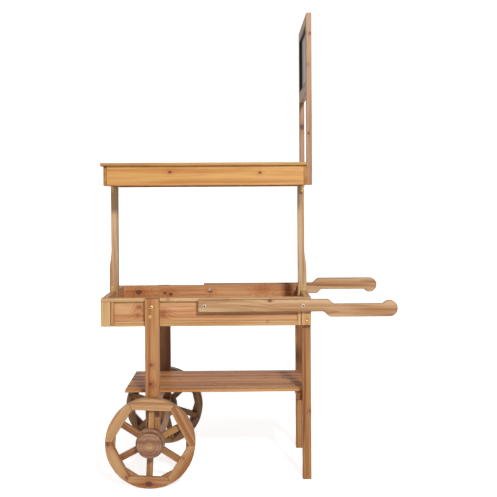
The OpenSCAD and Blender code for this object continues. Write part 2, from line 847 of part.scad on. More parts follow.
panel(-1);  // left_panel
panel(1);  // right_panel
top_strip(-1);  // left_top_strip
top_strip(1);  // right_top_strip
bottom_strip(-1);  // left_bottom_strip
bottom_strip(1);  // right_bottom_strip
corner_strips(-1);  // left_corner_strips
corner_strips(1);  // right_corner_strips
end_board(-1);  // front_end_board
end_board(1);  // rear_end_board
tray_floor();
floor_battens();
wheel_leg(-1);  // left_wheel_leg
wheel_leg(1);  // right_wheel_leg
rear_leg(-1);  // left_rear_leg
rear_leg(1);  // right_rear_leg
axle_beam();
axle_rod();
axle_washers();
axle_nuts();
for (i = [1 : slat_count]) shelf_slat(i);
front_shelf_bar();
rear_shelf_bar();
post(-1);  // front_post
post(1);  // rear_post
post_brackets();
top_side_board(-1);  // top_left_board
top_side_board(1);  // top_right_board
top_end_board(-1);  // top_front_board
top_end_board(1);  // top_rear_board
top_planks();
top_batten();
sign_upright(-1);  // left_sign_upright
sign_upright(1);  // right_sign_upright
sign_rail(opening_z1, sign_top_height);  // sign_top_rail
sign_rail(opening_z0 - sign_strip_width, opening_z0);  // sign_bottom_rail
chalkboard();
chalkboard_beads();
sign_screws();
handle(-1);  // left_handle
handle(1);  // right_handle
handle_packers();
handle_bolts();
leg_screws();
slat_screws();
outer_felloes(-1, left_wheel_turn);  // left_wheel_outer_felloes
inner_felloes(-1, left_wheel_turn);  // left_wheel_inner_felloes
spokes(-1, left_wheel_turn);  // left_wheel_spokes
hub(-1, left_wheel_turn);  // left_wheel_hub
hub_cap(-1);  // left_wheel_cap
outer_felloes(1, right_wheel_turn);  // right_wheel_outer_felloes
inner_felloes(1, right_wheel_turn);  // right_wheel_inner_felloes
spokes(1, right_wheel_turn);  // right_wheel_spokes
hub(1, right_wheel_turn);  // right_wheel_hub
hub_cap(1);  // right_wheel_cap
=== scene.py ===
"""Push vending cart: the boards, wheels, sign, handles and fittings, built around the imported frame."""

import json
import math
import random

import bmesh
import bpy
from bpy.props import FloatProperty, FloatVectorProperty, IntProperty, PointerProperty
from mathutils import Matrix, Vector


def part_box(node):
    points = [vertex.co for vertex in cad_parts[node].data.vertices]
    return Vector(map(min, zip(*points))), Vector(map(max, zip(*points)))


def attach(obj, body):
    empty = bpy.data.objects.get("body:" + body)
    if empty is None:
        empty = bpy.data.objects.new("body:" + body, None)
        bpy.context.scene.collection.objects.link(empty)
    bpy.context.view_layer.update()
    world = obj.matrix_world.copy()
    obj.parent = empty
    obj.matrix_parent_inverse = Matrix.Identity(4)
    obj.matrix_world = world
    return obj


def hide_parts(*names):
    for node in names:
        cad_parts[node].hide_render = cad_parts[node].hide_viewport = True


bl_info = {
    "name": "Push Vending Cart",
    "version": (1, 0, 0),
    "blender": (4, 5, 0),
    "location": "3D Viewport > Sidebar > Vending Cart",
    "description": "Builds a two-wheeled wooden cart with shelves and a chalkboard sign",
    "category": "Add Mesh",
}

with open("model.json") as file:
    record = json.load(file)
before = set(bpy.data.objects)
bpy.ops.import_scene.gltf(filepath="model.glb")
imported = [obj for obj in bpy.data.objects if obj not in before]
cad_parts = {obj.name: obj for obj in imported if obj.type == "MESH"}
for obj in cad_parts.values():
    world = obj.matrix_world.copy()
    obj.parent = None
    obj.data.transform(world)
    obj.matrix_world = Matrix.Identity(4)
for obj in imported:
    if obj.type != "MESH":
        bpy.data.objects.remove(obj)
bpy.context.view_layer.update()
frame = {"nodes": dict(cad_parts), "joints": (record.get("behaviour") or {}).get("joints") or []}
MM = 0.001
X, Y, Z = 0, 1, 2
SIDES = (("left", -1), ("right", 1))

# Sizes that the frame doesn't give.
HANDLE_ROOT = 47 * MM
SOFT_EDGE = 2 * MM
SPOKES = 6
# From the axle to the straight inner edges of a rim's two layers, and the gap between two rim pieces.
OUTER_CHORD, INNER_CHORD, RIM_GAP = 124 * MM, 133 * MM, 0.6 * MM
# How far each wheel is turned at rest, in degrees.
WHEEL_TURNS = {"left": -2.6, "right": 12.5}
# The radius and the height of each kind of head.
BOLT_HEAD, LEG_SCREW_HEAD, LEAF_SCREW_HEAD = (7.5 * MM, 3.6 * MM), (6 * MM, 2 * MM), (2.6 * MM, 0.9 * MM)
SLAT_SCREW_HEAD, SIGN_SCREW_HEAD = (4.2 * MM, 0.9 * MM), (4.5 * MM, 2 * MM)
# A head's rings, and the reach and half width of its cross, as shares of its radius and height.
HEAD_PROFILE = ((0.97, 0.3), (0.86, 0.7), (0.72, 0.93), (0.62, 1.0))
CROSS_ARM, CROSS_HALF = 0.60, 0.19

# Knots: their spacing, their radii, how uneven they are, how much closer distances along the grain count,
# and how far the rings are lifted where the halo round a knot is full.
KNOT_SPACING = 75 * MM
SMALL_KNOT, LARGE_KNOT = 2.2 * MM, 7.5 * MM
KNOT_UNEVEN = 3 * MM
KNOT_STRETCH = 0.72
HALO_LIFT = 12 * MM
# How far the pith lies below a board's middle at the least.
PITH_DEPTH = 28 * MM
# Painted shade: how much darker the right side's pieces are made than the left side's, since the far side
# lies in shade.
FAR_SIDE_PAINTED_SHADE = {"leg": 0.84, "rim": 0.84, "spoke": 0.88, "hub": 0.82}
# Linear colours that the wood is multiplied by, and the colours of a knot's heart.
CLOUD_TINT, FIBRE_TINT, HALO_TINT = (0.88, 0.74, 0.60), (0.80, 0.74, 0.68), (0.76, 0.50, 0.33)
END_GRAIN_TINT, EDGE_TINT = (0.74, 0.64, 0.55), (0.58, 0.45, 0.35)
HEART_LIGHT, HEART_DARK = (0.12, 0.027, 0.006), (0.02, 0.006, 0.002)

# Faces closer in angle than this are shaded as one curve.
CREASE = math.radians(20)
# Edges sharper than this get rounded.
CORNER = math.radians(30)


# ---- Settings ----

def colour(name, text, value):
    return FloatVectorProperty(
        name=name, description=text, default=value, size=3, min=0, max=1, subtype="COLOR_GAMMA"
    )


def length(name, text, value, low=0.0):
    return FloatProperty(name=name, description=text, default=value, min=low, unit="LENGTH")


def share(name, text, value):
    return FloatProperty(name=name, description=text, default=value, min=0, max=1, subtype="FACTOR")


def light(name, text, value, unit="NONE"):
    return FloatProperty(name=name, description=text, default=value, min=0, unit=unit)


class CartColours(bpy.types.PropertyGroup):
    panel: colour("Panels", "Pine of the tray's panels and end boards", (0.82, 0.64, 0.45))
    strip: colour("Strips", "Paler pine of the frame strips", (0.84, 0.705, 0.515))
    leg: colour("Legs", "Pine of the legs and bars", (0.755, 0.56, 0.35))
    dark_leg: colour("Rear legs", "Darker pine of the rear legs and the beam", (0.70, 0.51, 0.285))
    slat: colour("Slats", "Grey-brown pine of the lower shelf", (0.81, 0.60, 0.36))
    post: colour("Posts", "Pine of the posts", (0.80, 0.67, 0.52))
    top: colour("Upper shelf", "Yellow-orange pine of the upper shelf", (0.82, 0.63, 0.355))
    sign: colour("Sign frame", "Reddish pine of the sign", (0.72, 0.57, 0.43))
    handle: colour("Handles", "Pale pine of the handles", (0.80, 0.67, 0.515))
    rim: colour("Rims", "Pine of the wheels' rim pieces", (0.77, 0.61, 0.425))
    spoke: colour("Spokes", "Pine of the spokes", (0.71, 0.54, 0.34))
    hub: colour("Hubs", "Turned wood of the hubs", (0.65, 0.495, 0.38))
    cap: colour("Caps", "Paler wood of the caps over the axle nuts", (0.78, 0.66, 0.50))
    # The chalkboard colour is partly painted sheen: lighter than the paint, for the grey gloss that the
    # board shows at a low angle.
    slate: colour("Chalkboard", "Chalkboard paint", (0.38, 0.285, 0.21))
    # The beads' near-black is painted shade for the recess round the chalkboard.
    bead: colour("Beads", "Paint of the beads around the chalkboard", (0.055, 0.045, 0.04))
    brass: colour("Brass", "Brass of the brackets and leg screws", (0.93, 0.78, 0.46))
    steel: colour("Steel", "Zinc-plated steel of the bolts", (0.86, 0.77, 0.71))


class CartGrain(bpy.types.PropertyGroup):
    ring: length("Ring width", "Distance between two growth rings", 0.0052, 0.001)
    figure: length("Figure", "How far the rings wander along a board", 0.011)
    contrast: share("Ring contrast", "How dark the late wood of a ring is", 0.62)
    knots: share("Knots", "Share of the places for a knot that have one", 0.16)
    arris: length("Edge rounding", "Radius of the boards' rounded edges", 0.0014)


class CartStudio(bpy.types.PropertyGroup):
    key: light("Key light", "Power of the main light", 300, "POWER")
    fill: light("Fill light", "Power of the fill light", 22, "POWER")
    back: light("Back light", "Power of the light behind the cart", 55, "POWER")
    sky: light("Surroundings", "Strength of the light from all round", 0.13)
    glow: light("Floor glow", "Brightness added to the floor", 0.7)
    floor: colour("Floor", "Colour of the floor and the backdrop", (0.96, 0.96, 0.96))
    seed: IntProperty(name="Seed", description="Chooses how each board is cut from its log", default=3)


# ---- Places read from the frame ----

class Box:
    """A CAD node's lowest and highest corners."""

    def __init__(self, *nodes):
        corners = [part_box(node) for node in nodes]
        self.low = Vector([min(c[0][i] for c in corners) for i in range(3)])
        self.high = Vector([max(c[1][i] for c in corners) for i in range(3)])

    @property
    def middle(self):
        return (self.low + self.high) / 2

    @property
    def size(self):
        return self.high - self.low


def root_middle(side):
    """The height of the middle of a handle's root. The right handle is turned over."""
    box = Box(f"{side}_handle")
    return box.high.z - HANDLE_ROOT / 2 if side == "left" else box.low.z + HANDLE_ROOT / 2


# ---- Mesh helpers ----

def unique(items):
    """Each item once, in the order given."""
    return list(dict.fromkeys(items))


def verts_of(geom):
    return [v for v in geom if isinstance(v, bmesh.types.BMVert)]


def faces_at(verts):
    return unique(f for v in verts for f in v.link_faces)


def edges_within(verts):
    """The edges whose two ends are both among the points."""
    return [e for e in unique(e for v in verts for e in v.link_edges) if all(v in verts for v in e.verts)]


def flat_face(bm, outline, height=0.0):
    """One face from an outline in X and Y."""
    return bm.faces.new([bm.verts.new((x, y, height)) for x, y in outline])


def thicken(bm, face, thickness):
    """Extrudes a flat face along +Z, and gives the new points."""
    top = verts_of(bmesh.ops.extrude_face_region(bm, geom=[face])["geom"])
    bmesh.ops.translate(bm, vec=(0, 0, thickness), verts=top)
    return top


def rounded(bm, edges, radius, segments):
    return bmesh.ops.bevel(
        bm, geom=edges, offset=radius, segments=segments, profile=0.5,
        affect="EDGES", clamp_overlap=True, material=-1,
    )


def s_curve(start, end, steps):
    """Points from one place to another on a curve that begins and ends level."""
    for t in (i / steps for i in range(steps + 1)):
        yield start[0] + t * (end[0] - start[0]), start[1] + t * t * (3 - 2 * t) * (end[1] - start[1])


def facing(point, along, across):
    """A matrix at a point whose X and Y lie along two directions."""
    along, across = Vector(along), Vector(across)
    turn = Matrix((along, across, along.cross(across))).transposed().to_4x4()
    return Matrix.Translation(point) @ turn


def flipped(side):
    """Leaves a left piece as it is and mirrors it for the right side."""
    return Matrix.Diagonal((1, -side, 1, 1))


# ---- Boards ----

def board_number(name):
    """A number from 1 to 90 that stays the same for a board's name."""
    seed = bpy.context.scene.cart_studio.seed
    return round(random.Random(f"{name} {seed}").uniform(1, 90), 3)


def timber():
    """An empty mesh with the layers that the wood materials read."""
    bm = bmesh.new()
    bm.verts.layers.float_vector.new("grain")
    bm.verts.layers.float.new("board")
    bm.faces.layers.float.new("cut")
    bm.faces.layers.float.new("arris")
    return bm


def unmarked(bm):
    """The newest board's points, which hold no number yet."""
    mark = bm.verts.layers.float["board"]
    return [v for v in bm.verts if v[mark] == 0]


def dress(bm, name, place, arris=None, segments=2):
    """Rounds the newest board's edges, marks its grain along its own X, and puts it in its place."""
    grain = bm.verts.layers.float_vector["grain"]
    mark = bm.verts.layers.float["board"]
    cut = bm.faces.layers.float["cut"]
    worn = bm.faces.layers.float["arris"]
    number = board_number(name)
    arris = bpy.context.scene.cart_grain.arris if arris is None else arris

    faces = faces_at(unmarked(bm))
    bmesh.ops.recalc_face_normals(bm, faces=faces)
    edges = [e for e in unique(e for f in faces for e in f.edges) if e.calc_face_angle(0) > CORNER]
    if arris:
        for f in rounded(bm, edges, arris, segments)["faces"]:
            f[worn] = 1
    points = unmarked(bm)
    for f in faces_at(points):
        f.normal_update()
        f[cut] = 1 if abs(f.normal.x) > 0.8 else 0
        f.smooth = True
    for v in points:
        v[grain] = v.co
        v[mark] = number
    bmesh.ops.transform(bm, matrix=place, verts=points)


def board(bm, name, corner, opposite, along, arris=None):
    """A sawn board between two opposite corners, with its grain along one axis."""
    corner, opposite = Vector(corner), Vector(opposite)
    size = Vector([abs(s) for s in opposite - corner])
    across, thick = sorted((a for a in (X, Y, Z) if a != along), key=lambda a: -size[a])
    turn = Matrix.Diagonal((0, 0, 0, 1))
    turn[along][0] = turn[across][1] = turn[thick][2] = 1
    if turn.to_3x3().determinant() < 0:
        turn[thick][2] = -1
    own_size = Matrix.Diagonal((size[along], size[across], size[thick], 1))
    bmesh.ops.create_cube(bm, size=1, matrix=own_size)
    dress(bm, name, Matrix.Translation((corner + opposite) / 2) @ turn, arris)


def sawn(bm, name, outline, thickness, place, arris=None, segments=2):
    """A board cut to an outline in its own X and Y, its thickness centred on Z = 0."""
    thicken(bm, flat_face(bm, outline, -thickness / 2), thickness)
    dress(bm, name, place, arris, segments)


def row(box, count, gap):
    """The number and the corners of each of the boards that lie side by side across a box."""
    width = (box.size.y - (count - 1) * gap) / count
    for i in range(count):
        y0 = box.low.y + i * (width + gap)
        yield i, Vector((box.low.x, y0, box.low.z)), Vector((box.high.x, y0 + width, box.high.z))


# ---- Pieces ----

def new_object(name, bm, *materials):
    """Turns a finished mesh into an object with its materials."""
    mesh = bpy.data.meshes.new(name)
    bm.to_mesh(mesh)
    bm.free()
    for material in materials:
        mesh.materials.append(material)
    made = bpy.data.objects.new(name, mesh)
    bpy.context.scene.collection.objects.link(made)
    return made


def piece(node, bm, slot, *materials, body="cart"):
    """Turns a finished mesh into the piece that stands for a CAD node and rides on its body."""
    bmesh.ops.recalc_face_normals(bm, faces=bm.faces[:])
    made = new_object(node, bm, *materials)
    made.data.set_sharp_from_angle(angle=CREASE)
    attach(made, body)
    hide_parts(node)


def one_board(node, along, slot, finish, arris=None):
    """A piece that is one board, which fills its CAD node's box."""
    box = Box(node)
    bm = timber()
    board(bm, node, box.low, box.high, along, arris)
    piece(node, bm, slot, finish)


# ---- Node trees ----

class Tree:
    """Adds shader nodes. An input is a number, a colour or another node's socket."""

    def __init__(self, tree):
        self.tree = tree

    def wire(self, sockets, values):
        """Sets each named socket, or links it where its value is another node's socket."""
        for key, value in values.items():
            if isinstance(value, bpy.types.NodeSocket):
                self.tree.links.new(value, sockets[key])
            else:
                sockets[key].default_value = value

    def node(self, kind, values=None, **settings):
        """The outputs of a new node."""
        made = self.tree.nodes.new("ShaderNode" + kind)
        for name, value in settings.items():
            setattr(made, name, value)
        self.wire(made.inputs, values or {})
        return made.outputs

    def add(self, kind, values=None, out=0, **settings):
        return self.node(kind, values, **settings)[out]

    def math(self, operation, *values, clamp=False):
        return self.add("Math", dict(enumerate(values)), operation=operation, use_clamp=clamp)

    def plus(self, a, b, clamp=False):
        return self.math("ADD", a, b, clamp=clamp)

    def minus(self, a, b):
        return self.math("SUBTRACT", a, b)

    def times(self, a, b, clamp=False):
        return self.math("MULTIPLY", a, b, clamp=clamp)

    def over(self, a, b, clamp=False):
        return self.math("DIVIDE", a, b, clamp=clamp)

    def vector(self, operation, *values, out=0):
        return self.add("VectorMath", dict(enumerate(values)), out, operation=operation)

    def scaled(self, vector, x, y, z):
        return self.vector("MULTIPLY", vector, (x, y, z))

    def parts(self, vector):
        return self.node("SeparateXYZ", {0: vector})[:]

    def mix(self, factor, a, b, blend="MIX"):
        return self.add("Mix", {0: factor, 6: a, 7: b}, 2, data_type="RGBA", blend_type=blend)

    def tinted(self, factor, a, tint):
        """A colour multiplied by a tint as far as the factor says."""
        return self.mix(factor, a, (*tint, 1), "MULTIPLY")

    def gamma(self, a, power):
        return self.add("Gamma", {0: a, 1: power})

    def step(self, value, low, high, bottom=0.0, top=1.0):
        sockets = {0: value, 1: low, 2: high, 3: bottom, 4: top}
        return self.add("MapRange", sockets, interpolation_type="SMOOTHSTEP")

    def noise(self, vector, w, scale, detail=2.0, roughness=0.5):
        sockets = {"Vector": vector, "W": w, "Scale": scale, "Detail": detail, "Roughness": roughness}
        return self.add("TexNoise", sockets, noise_dimensions="4D")

    def wave(self, w, scale, detail):
        """A noise along one number."""
        return self.add("TexNoise", {"W": w, "Scale": scale, "Detail": detail}, noise_dimensions="1D")

    def attribute(self, name, out):
        return self.add("Attribute", out=out, attribute_name=name)

    def bump(self, height, distance, strength):
        return self.add("Bump", {"Height": height, "Distance": distance, "Strength": strength})


def group(name, inputs, outputs):
    """An empty node group: its tree, the sockets that it is given and the sockets of its result."""
    tree = bpy.data.node_groups.new(name, "ShaderNodeTree")
    for label, kind, value in inputs:
        socket = tree.interface.new_socket(label, in_out="INPUT", socket_type="NodeSocket" + kind)
        socket.default_value = value
    for label, kind in outputs:
        tree.interface.new_socket(label, in_out="OUTPUT", socket_type="NodeSocket" + kind)
    given = tree.nodes.new("NodeGroupInput").outputs
    return Tree(tree), given, tree.nodes.new("NodeGroupOutput").inputs


def shared(name, build):
    return bpy.data.node_groups.get(name) or build()


def uneven_outline(t, grain, number, scale):
    return t.times(t.minus(t.noise(grain, number, scale, 1), 0.5), KNOT_UNEVEN)


def knot_shape(t, away, radius):
    """How far a knot lifts the rings, and its dark heart, from the distance to its middle."""
    spread = t.over(away, radius)
    bell = t.math("EXPONENT", t.times(t.math("POWER", t.times(spread, 0.42), 2), -1))
    return t.times(bell, t.times(radius, 1.5)), t.step(spread, 1.15, 0.7)


def single_knot_group():
    """One knot at a place on one board: how far it lifts the rings, and where its dark heart is."""
    t, given, result = group(
        "Single Knot",
        [("Place", "Vector", (0, 0, 0)), ("Radius", "Float", 0.006), ("Board", "Float", 1.0),
         ("Depth", "Float", 1.0), ("Spread", "Vector", (KNOT_STRETCH, 1, 0)),
         ("Lift", "Float", 0.0), ("Heart", "Float", 0.0)],
        [("Lift", "Float"), ("Heart", "Float")],
    )
    grain = t.attribute("grain", "Vector")
    number = t.attribute("board", "Fac")
    same_board = t.math("COMPARE", number, given["Board"], 0.02)
    flat = t.vector("MULTIPLY", t.vector("SUBTRACT", grain, given["Place"]), given["Spread"])
    away = t.plus(t.vector("LENGTH", flat, out="Value"), uneven_outline(t, grain, number, 120))
    lift, heart = knot_shape(t, away, given["Radius"])
    heart = t.times(heart, t.times(same_board, given["Depth"]))
    t.wire(result, {
        "Lift": t.plus(given["Lift"], t.times(lift, same_board)),
        "Heart": t.math("MAXIMUM", given["Heart"], heart),
    })
    return t.tree


def pine_group():
    """Varnished sawn pine: growth rings round a pith outside the board, knots, fibres and stained edges."""
    t, given, result = group(
        "Varnished Pine",
        [("Colour", "Color", (0.6, 0.35, 0.15, 1)), ("Ring Width", "Float", 0.005),
         ("Figure", "Float", 0.01), ("Contrast", "Float", 0.4), ("Knots", "Float", 0.2),
         ("Lift", "Float", 0.0), ("Heart", "Float", 0.0), ("Variation", "Float", 1.0)],
        [("Color", "Color"), ("Roughness", "Float"), ("Height", "Float")],
    )
    grain = t.attribute("grain", "Vector")
    number = t.attribute("board", "Fac")
    cut = t.attribute("cut", "Fac")
    chance = t.add("TexWhiteNoise", {"W": number}, "Color", noise_dimensions="1D")
    first, second, third = t.parts(chance)

    # Knots scattered at random, each a branch straight through the board.
    spots = t.vector("ADD", t.scaled(grain, 1, 1, 0), t.scaled(chance, 7, 5, 0))
    cells = t.node("TexVoronoi", {"Vector": spots, "Scale": 1 / KNOT_SPACING}, voronoi_dimensions="2D")
    odds, size, depth = t.parts(cells["Color"])
    has_knot = t.math("LESS_THAN", odds, given["Knots"])
    radius = t.step(size, 0, 1, SMALL_KNOT, LARGE_KNOT)
    away = t.plus(t.times(cells["Distance"], KNOT_SPACING), uneven_outline(t, grain, number, 110))
    own_lift, own_heart = knot_shape(t, away, radius)
    own_heart = t.times(own_heart, t.times(has_knot, t.step(depth, 0, 1, 0.45, 1)))
    lift = t.plus(given["Lift"], t.times(own_lift, has_knot))
    heart = t.math("MAXIMUM", given["Heart"], own_heart)

    # The pith runs below the board and leans a little, which draws long arches on its face.
    x, y, z = t.parts(grain)
    lean = t.times(t.minus(third, 0.5), 0.045)
    pith_y = t.plus(t.times(t.minus(first, 0.5), 0.07), t.times(x, lean))
    pith_z = t.plus(t.times(second, -0.05), t.times(x, t.times(lean, 0.8)))
    from_y = t.minus(y, pith_y)
    from_z = t.plus(t.minus(z, pith_z), PITH_DEPTH)
    distance = t.math("SQRT", t.plus(t.times(from_y, from_y), t.times(from_z, from_z)))
    wander = t.noise(t.scaled(grain, 2.2, 9, 9), number, 1, 2)
    distance = t.plus(distance, t.times(t.minus(wander, 0.5), given["Figure"]))

    # The rings are uneven in width and in strength, and each darkens slowly and ends sharply.
    rings = t.over(t.plus(distance, lift), given["Ring Width"])
    rings = t.plus(rings, t.times(t.wave(t.plus(rings, number), 0.33, 1), 2.2))
    phase = t.math("FRACT", rings)
    late = t.times(t.step(phase, 0.15, 0.86), t.step(phase, 1.0, 0.9))
    late = t.times(late, t.step(t.wave(rings, 0.21, 0), 0.25, 0.75, 0.35, 1.25))

    # Fibres, longer streaks and broad clouds along the grain.
    fibre = t.noise(t.scaled(grain, 9, 640, 640), number, 1, 2, 0.6)
    streak = t.noise(t.scaled(grain, 1.3, 48, 48), number, 1, 3, 0.6)
    cloud = t.noise(t.scaled(grain, 3.5, 11, 11), number, 1, 3)

    shift = t.times(t.minus(second, 0.5), t.times(given["Variation"], 0.24))
    wood = t.gamma(given["Colour"], t.plus(1.0, shift))
    wood = t.tinted(t.times(t.step(cloud, 0.35, 0.75), 0.5), wood, CLOUD_TINT)
    wood = t.mix(t.times(late, given["Contrast"], clamp=True), wood, t.gamma(wood, 1.62))
    wood = t.mix(t.step(streak, 0.4, 0.66, 0.0, 0.95), wood, t.gamma(wood, 1.7))
    wood = t.tinted(t.step(fibre, 0.3, 0.7, 0.0, 0.5), wood, FIBRE_TINT)
    wood = t.tinted(t.times(t.over(lift, HALO_LIFT, clamp=True), 0.75), wood, HALO_TINT)
    pith = t.noise(t.scaled(grain, 260, 260, 40), number, 1, 1)
    wood = t.mix(t.times(heart, 0.92), wood, t.mix(pith, (*HEART_LIGHT, 1), (*HEART_DARK, 1)))
    wood = t.tinted(t.times(cut, 0.8), wood, END_GRAIN_TINT)
    # The stain gathers along the rounded edges.
    patchy = t.step(t.noise(t.scaled(grain, 30, 60, 60), number, 1, 2), 0.3, 0.7, 0.35, 1.0)
    wood = t.tinted(t.times(t.attribute("arris", "Fac"), patchy), wood, EDGE_TINT)

    rough = t.plus(t.times(late, -0.10), t.times(fibre, 0.22))
    height = t.plus(t.times(late, 0.5), t.times(fibre, 0.6))
    t.wire(result, {
        "Color": wood,
        "Roughness": t.plus(t.plus(rough, 0.46), t.times(cut, 0.2)),
        "Height": t.minus(height, t.times(heart, 0.7)),
    })
    return t.tree


# ---- Materials ----

def linear(value):
    """A display colour as the linear colour that a shader takes."""
    def one(c):
        return c / 12.92 if c <= 0.04045 else ((c + 0.055) / 1.055) ** 2.4
    return (*[one(c) for c in value], 1)


def scaled_colour(base, factor, added=0.0):
    return (*[c * factor + added for c in base[:3]], 1)


def shaded(value, factor):
    return [min(1, c * factor) for c in value]


def side_painted_shade(side, value, kind):
    """A colour with painted shade: darker on the right side, the far side, which lies in shade."""
    return shaded(value, FAR_SIDE_PAINTED_SHADE[kind] if side == "right" else 1)


def new_material(name):
    """A material, its tree and its shader's sockets."""
    material = bpy.data.materials.new(name)
    material.use_nodes = True
    return material, Tree(material.node_tree), material.node_tree.nodes["Principled BSDF"].inputs


def pine(name, colour_value, knots=(), scatter=None, variation=1.0, ring=None, contrast=None):
    """A pine finish. knots holds (board's name, along, across, radius, depth) for each placed knot.

    A sixth value of True puts the knot on the board's narrow face, where across runs through its thickness.
    """
    found = bpy.data.materials.get(name)
    if found:
        return found
    look = bpy.context.scene.cart_grain
    material, t, shader = new_material(name)
    values = {
        "Colour": linear(colour_value),
        "Ring Width": look.ring if ring is None else ring,
        "Figure": look.figure,
        "Contrast": look.contrast if contrast is None else contrast,
        "Knots": look.knots if scatter is None else scatter,
        "Variation": variation, "Lift": 0.0, "Heart": 0.0,
    }
    for owner, along, across, radius, depth, *narrow in knots:
        knot = t.node("Group", {
            "Place": (along, 0, across) if narrow else (along, across, 0),
            "Spread": (KNOT_STRETCH, 0, 1) if narrow else (KNOT_STRETCH, 1, 0),
            "Radius": radius, "Depth": depth, "Board": board_number(owner),
            "Lift": values["Lift"], "Heart": values["Heart"],
        }, node_tree=shared("Single Knot", single_knot_group))
        values.update({"Lift": knot["Lift"], "Heart": knot["Heart"]})
    wood = t.node("Group", values, node_tree=shared("Varnished Pine", pine_group))
    t.wire(shader, {
        "Base Color": wood["Color"], "Roughness": wood["Roughness"],
        "Normal": t.bump(wood["Height"], 0.0004, 0.6),
        "Coat Weight": 0.06, "Coat Roughness": 0.35,
    })
    return material


def metal(name, colour_value, roughness, metallic=0.5):
    """Plated metal with fine scratches and tarnish."""
    found = bpy.data.materials.get(name)
    if found:
        return found
    material, t, shader = new_material(name)
    place = t.add("TexCoord", out="Object")
    blotch = t.noise(place, 1.0, 160, 3, 0.6)
    scratch = t.noise(t.scaled(place, 900, 260, 900), 2.0, 1, 2, 0.6)
    base = linear(colour_value)
    t.wire(shader, {
        "Base Color": t.mix(t.step(blotch, 0.4, 0.7, 0, 0.7), base, scaled_colour(base, 0.55)),
        "Roughness": t.plus(t.times(scratch, 0.2), roughness - 0.1),
        "Normal": t.bump(scratch, 0.0001, 0.4),
        "Metallic": metallic,
    })
    return material


def recess_painted_shade():
    # The recess of each cross-head is painted near-black and dull, as painted shade for its hollow.
    return metal("screw recess painted shade", (0.13, 0.09, 0.07), 0.7, 0.0)


def slate_and_sheen_material():
    """Chalkboard paint with the cloudy marks that a duster leaves; its base colour is lighter than the
    paint, as painted sheen for the grey gloss that the board shows at a low angle.
    """
    material, t, shader = new_material("chalkboard paint with painted sheen")
    place = t.add("TexCoord", out="Object")
    smear = t.noise(t.scaled(place, 6, 9, 26), 4.0, 1, 4, 0.62)
    fine = t.noise(t.scaled(place, 60, 300, 520), 6.0, 1, 3, 0.7)
    dust = t.times(t.step(smear, 0.38, 0.78), t.step(fine, 0.2, 0.8, 0.4, 1.0))
    # The base colour holds painted sheen as well as the paint.
    base = linear(bpy.context.scene.cart_colours.slate)
    t.wire(shader, {
        "Base Color": t.mix(dust, base, scaled_colour(base, 0.62, 0.10)),
        "Roughness": t.step(dust, 0, 1, 0.3, 0.46),
        "Normal": t.bump(fine, 0.0002, 0.5),
    })
    return material


def painted_shade_bead_material():
    """Near-black beads as painted shade for the recess round the chalkboard, browner along their rounded
    edges.
    """
    material, t, shader = new_material("painted shade beads")
    speck = t.noise(t.scaled(t.attribute("grain", "Vector"), 60, 500, 500), 3.0, 1, 3, 0.6)
    rubbed = t.times(t.attribute("arris", "Fac"), t.step(speck, 0.45, 0.7, 0, 0.5))
    base = linear(bpy.context.scene.cart_colours.bead)
    t.wire(shader, {
        "Base Color": t.mix(rubbed, base, (0.16, 0.10, 0.06, 1)),
        "Roughness": t.step(speck, 0, 1, 0.4, 0.6),
    })
    return material


# ---- Fasteners ----

def turned_head(bm, place, radius, height, points=24):
    """A domed screw or bolt head on Z = 0, with a cross recess sunk into its top whose faces take the
    second material, the recess's painted shade.
    """
    loop = bmesh.ops.create_circle(bm, segments=points, radius=radius)["verts"]
    everything = list(loop)

    def next_loop(reach, z):
        grown = verts_of(bmesh.ops.extrude_edge_only(bm, edges=edges_within(loop))["geom"])
        for v in grown:
            angle = math.atan2(v.co.y, v.co.x)
            far = reach(angle)
            v.co = Vector((far * math.cos(angle), far * math.sin(angle), z))
        everything.extend(grown)
        return grown

    def cross(angle):
        folded = abs((angle + math.pi / 4) % (math.pi / 2) - math.pi / 4)
        if math.tan(folded) <= CROSS_HALF / CROSS_ARM:
            return radius * CROSS_ARM / math.cos(folded)
        return radius * CROSS_HALF / math.sin(folded)

    for out, up in HEAD_PROFILE:
        loop = next_loop(lambda angle: radius * out, height * up)
    loop = next_loop(cross, height)
    loop = next_loop(lambda angle: cross(angle) * 0.85, height * 0.25)
    bmesh.ops.contextual_create(bm, geom=edges_within(loop))
    for f in faces_at(loop):
        f.material_index = 1
    for f in faces_at(everything):
        f.smooth = True
    bmesh.ops.transform(bm, matrix=place, verts=everything)


def disc(bm, place, radius, thickness, points=24):
    """A washer, or with six points a nut, on Z = 0."""
    base = bmesh.ops.create_circle(bm, cap_ends=True, segments=points, radius=radius)["verts"]
    top = thicken(bm, base[0].link_faces[0], thickness)
    edge = rounded(bm, edges_within(top), thickness * 0.2, 1)["verts"]
    verts = unique(v for v in [*base, *top, *edge] if v.is_valid)
    bmesh.ops.transform(bm, matrix=place, verts=verts)


def outward(point, side):
    """A matrix at a point whose Z points out of the cart's side."""
    return facing(point, (-side, 0, 0), (0, 0, 1))


# ---- Operators ----

class CartOperator(bpy.types.Operator):
    """Base of the operators that build the cart"""
    bl_options = {"REGISTER", "UNDO"}


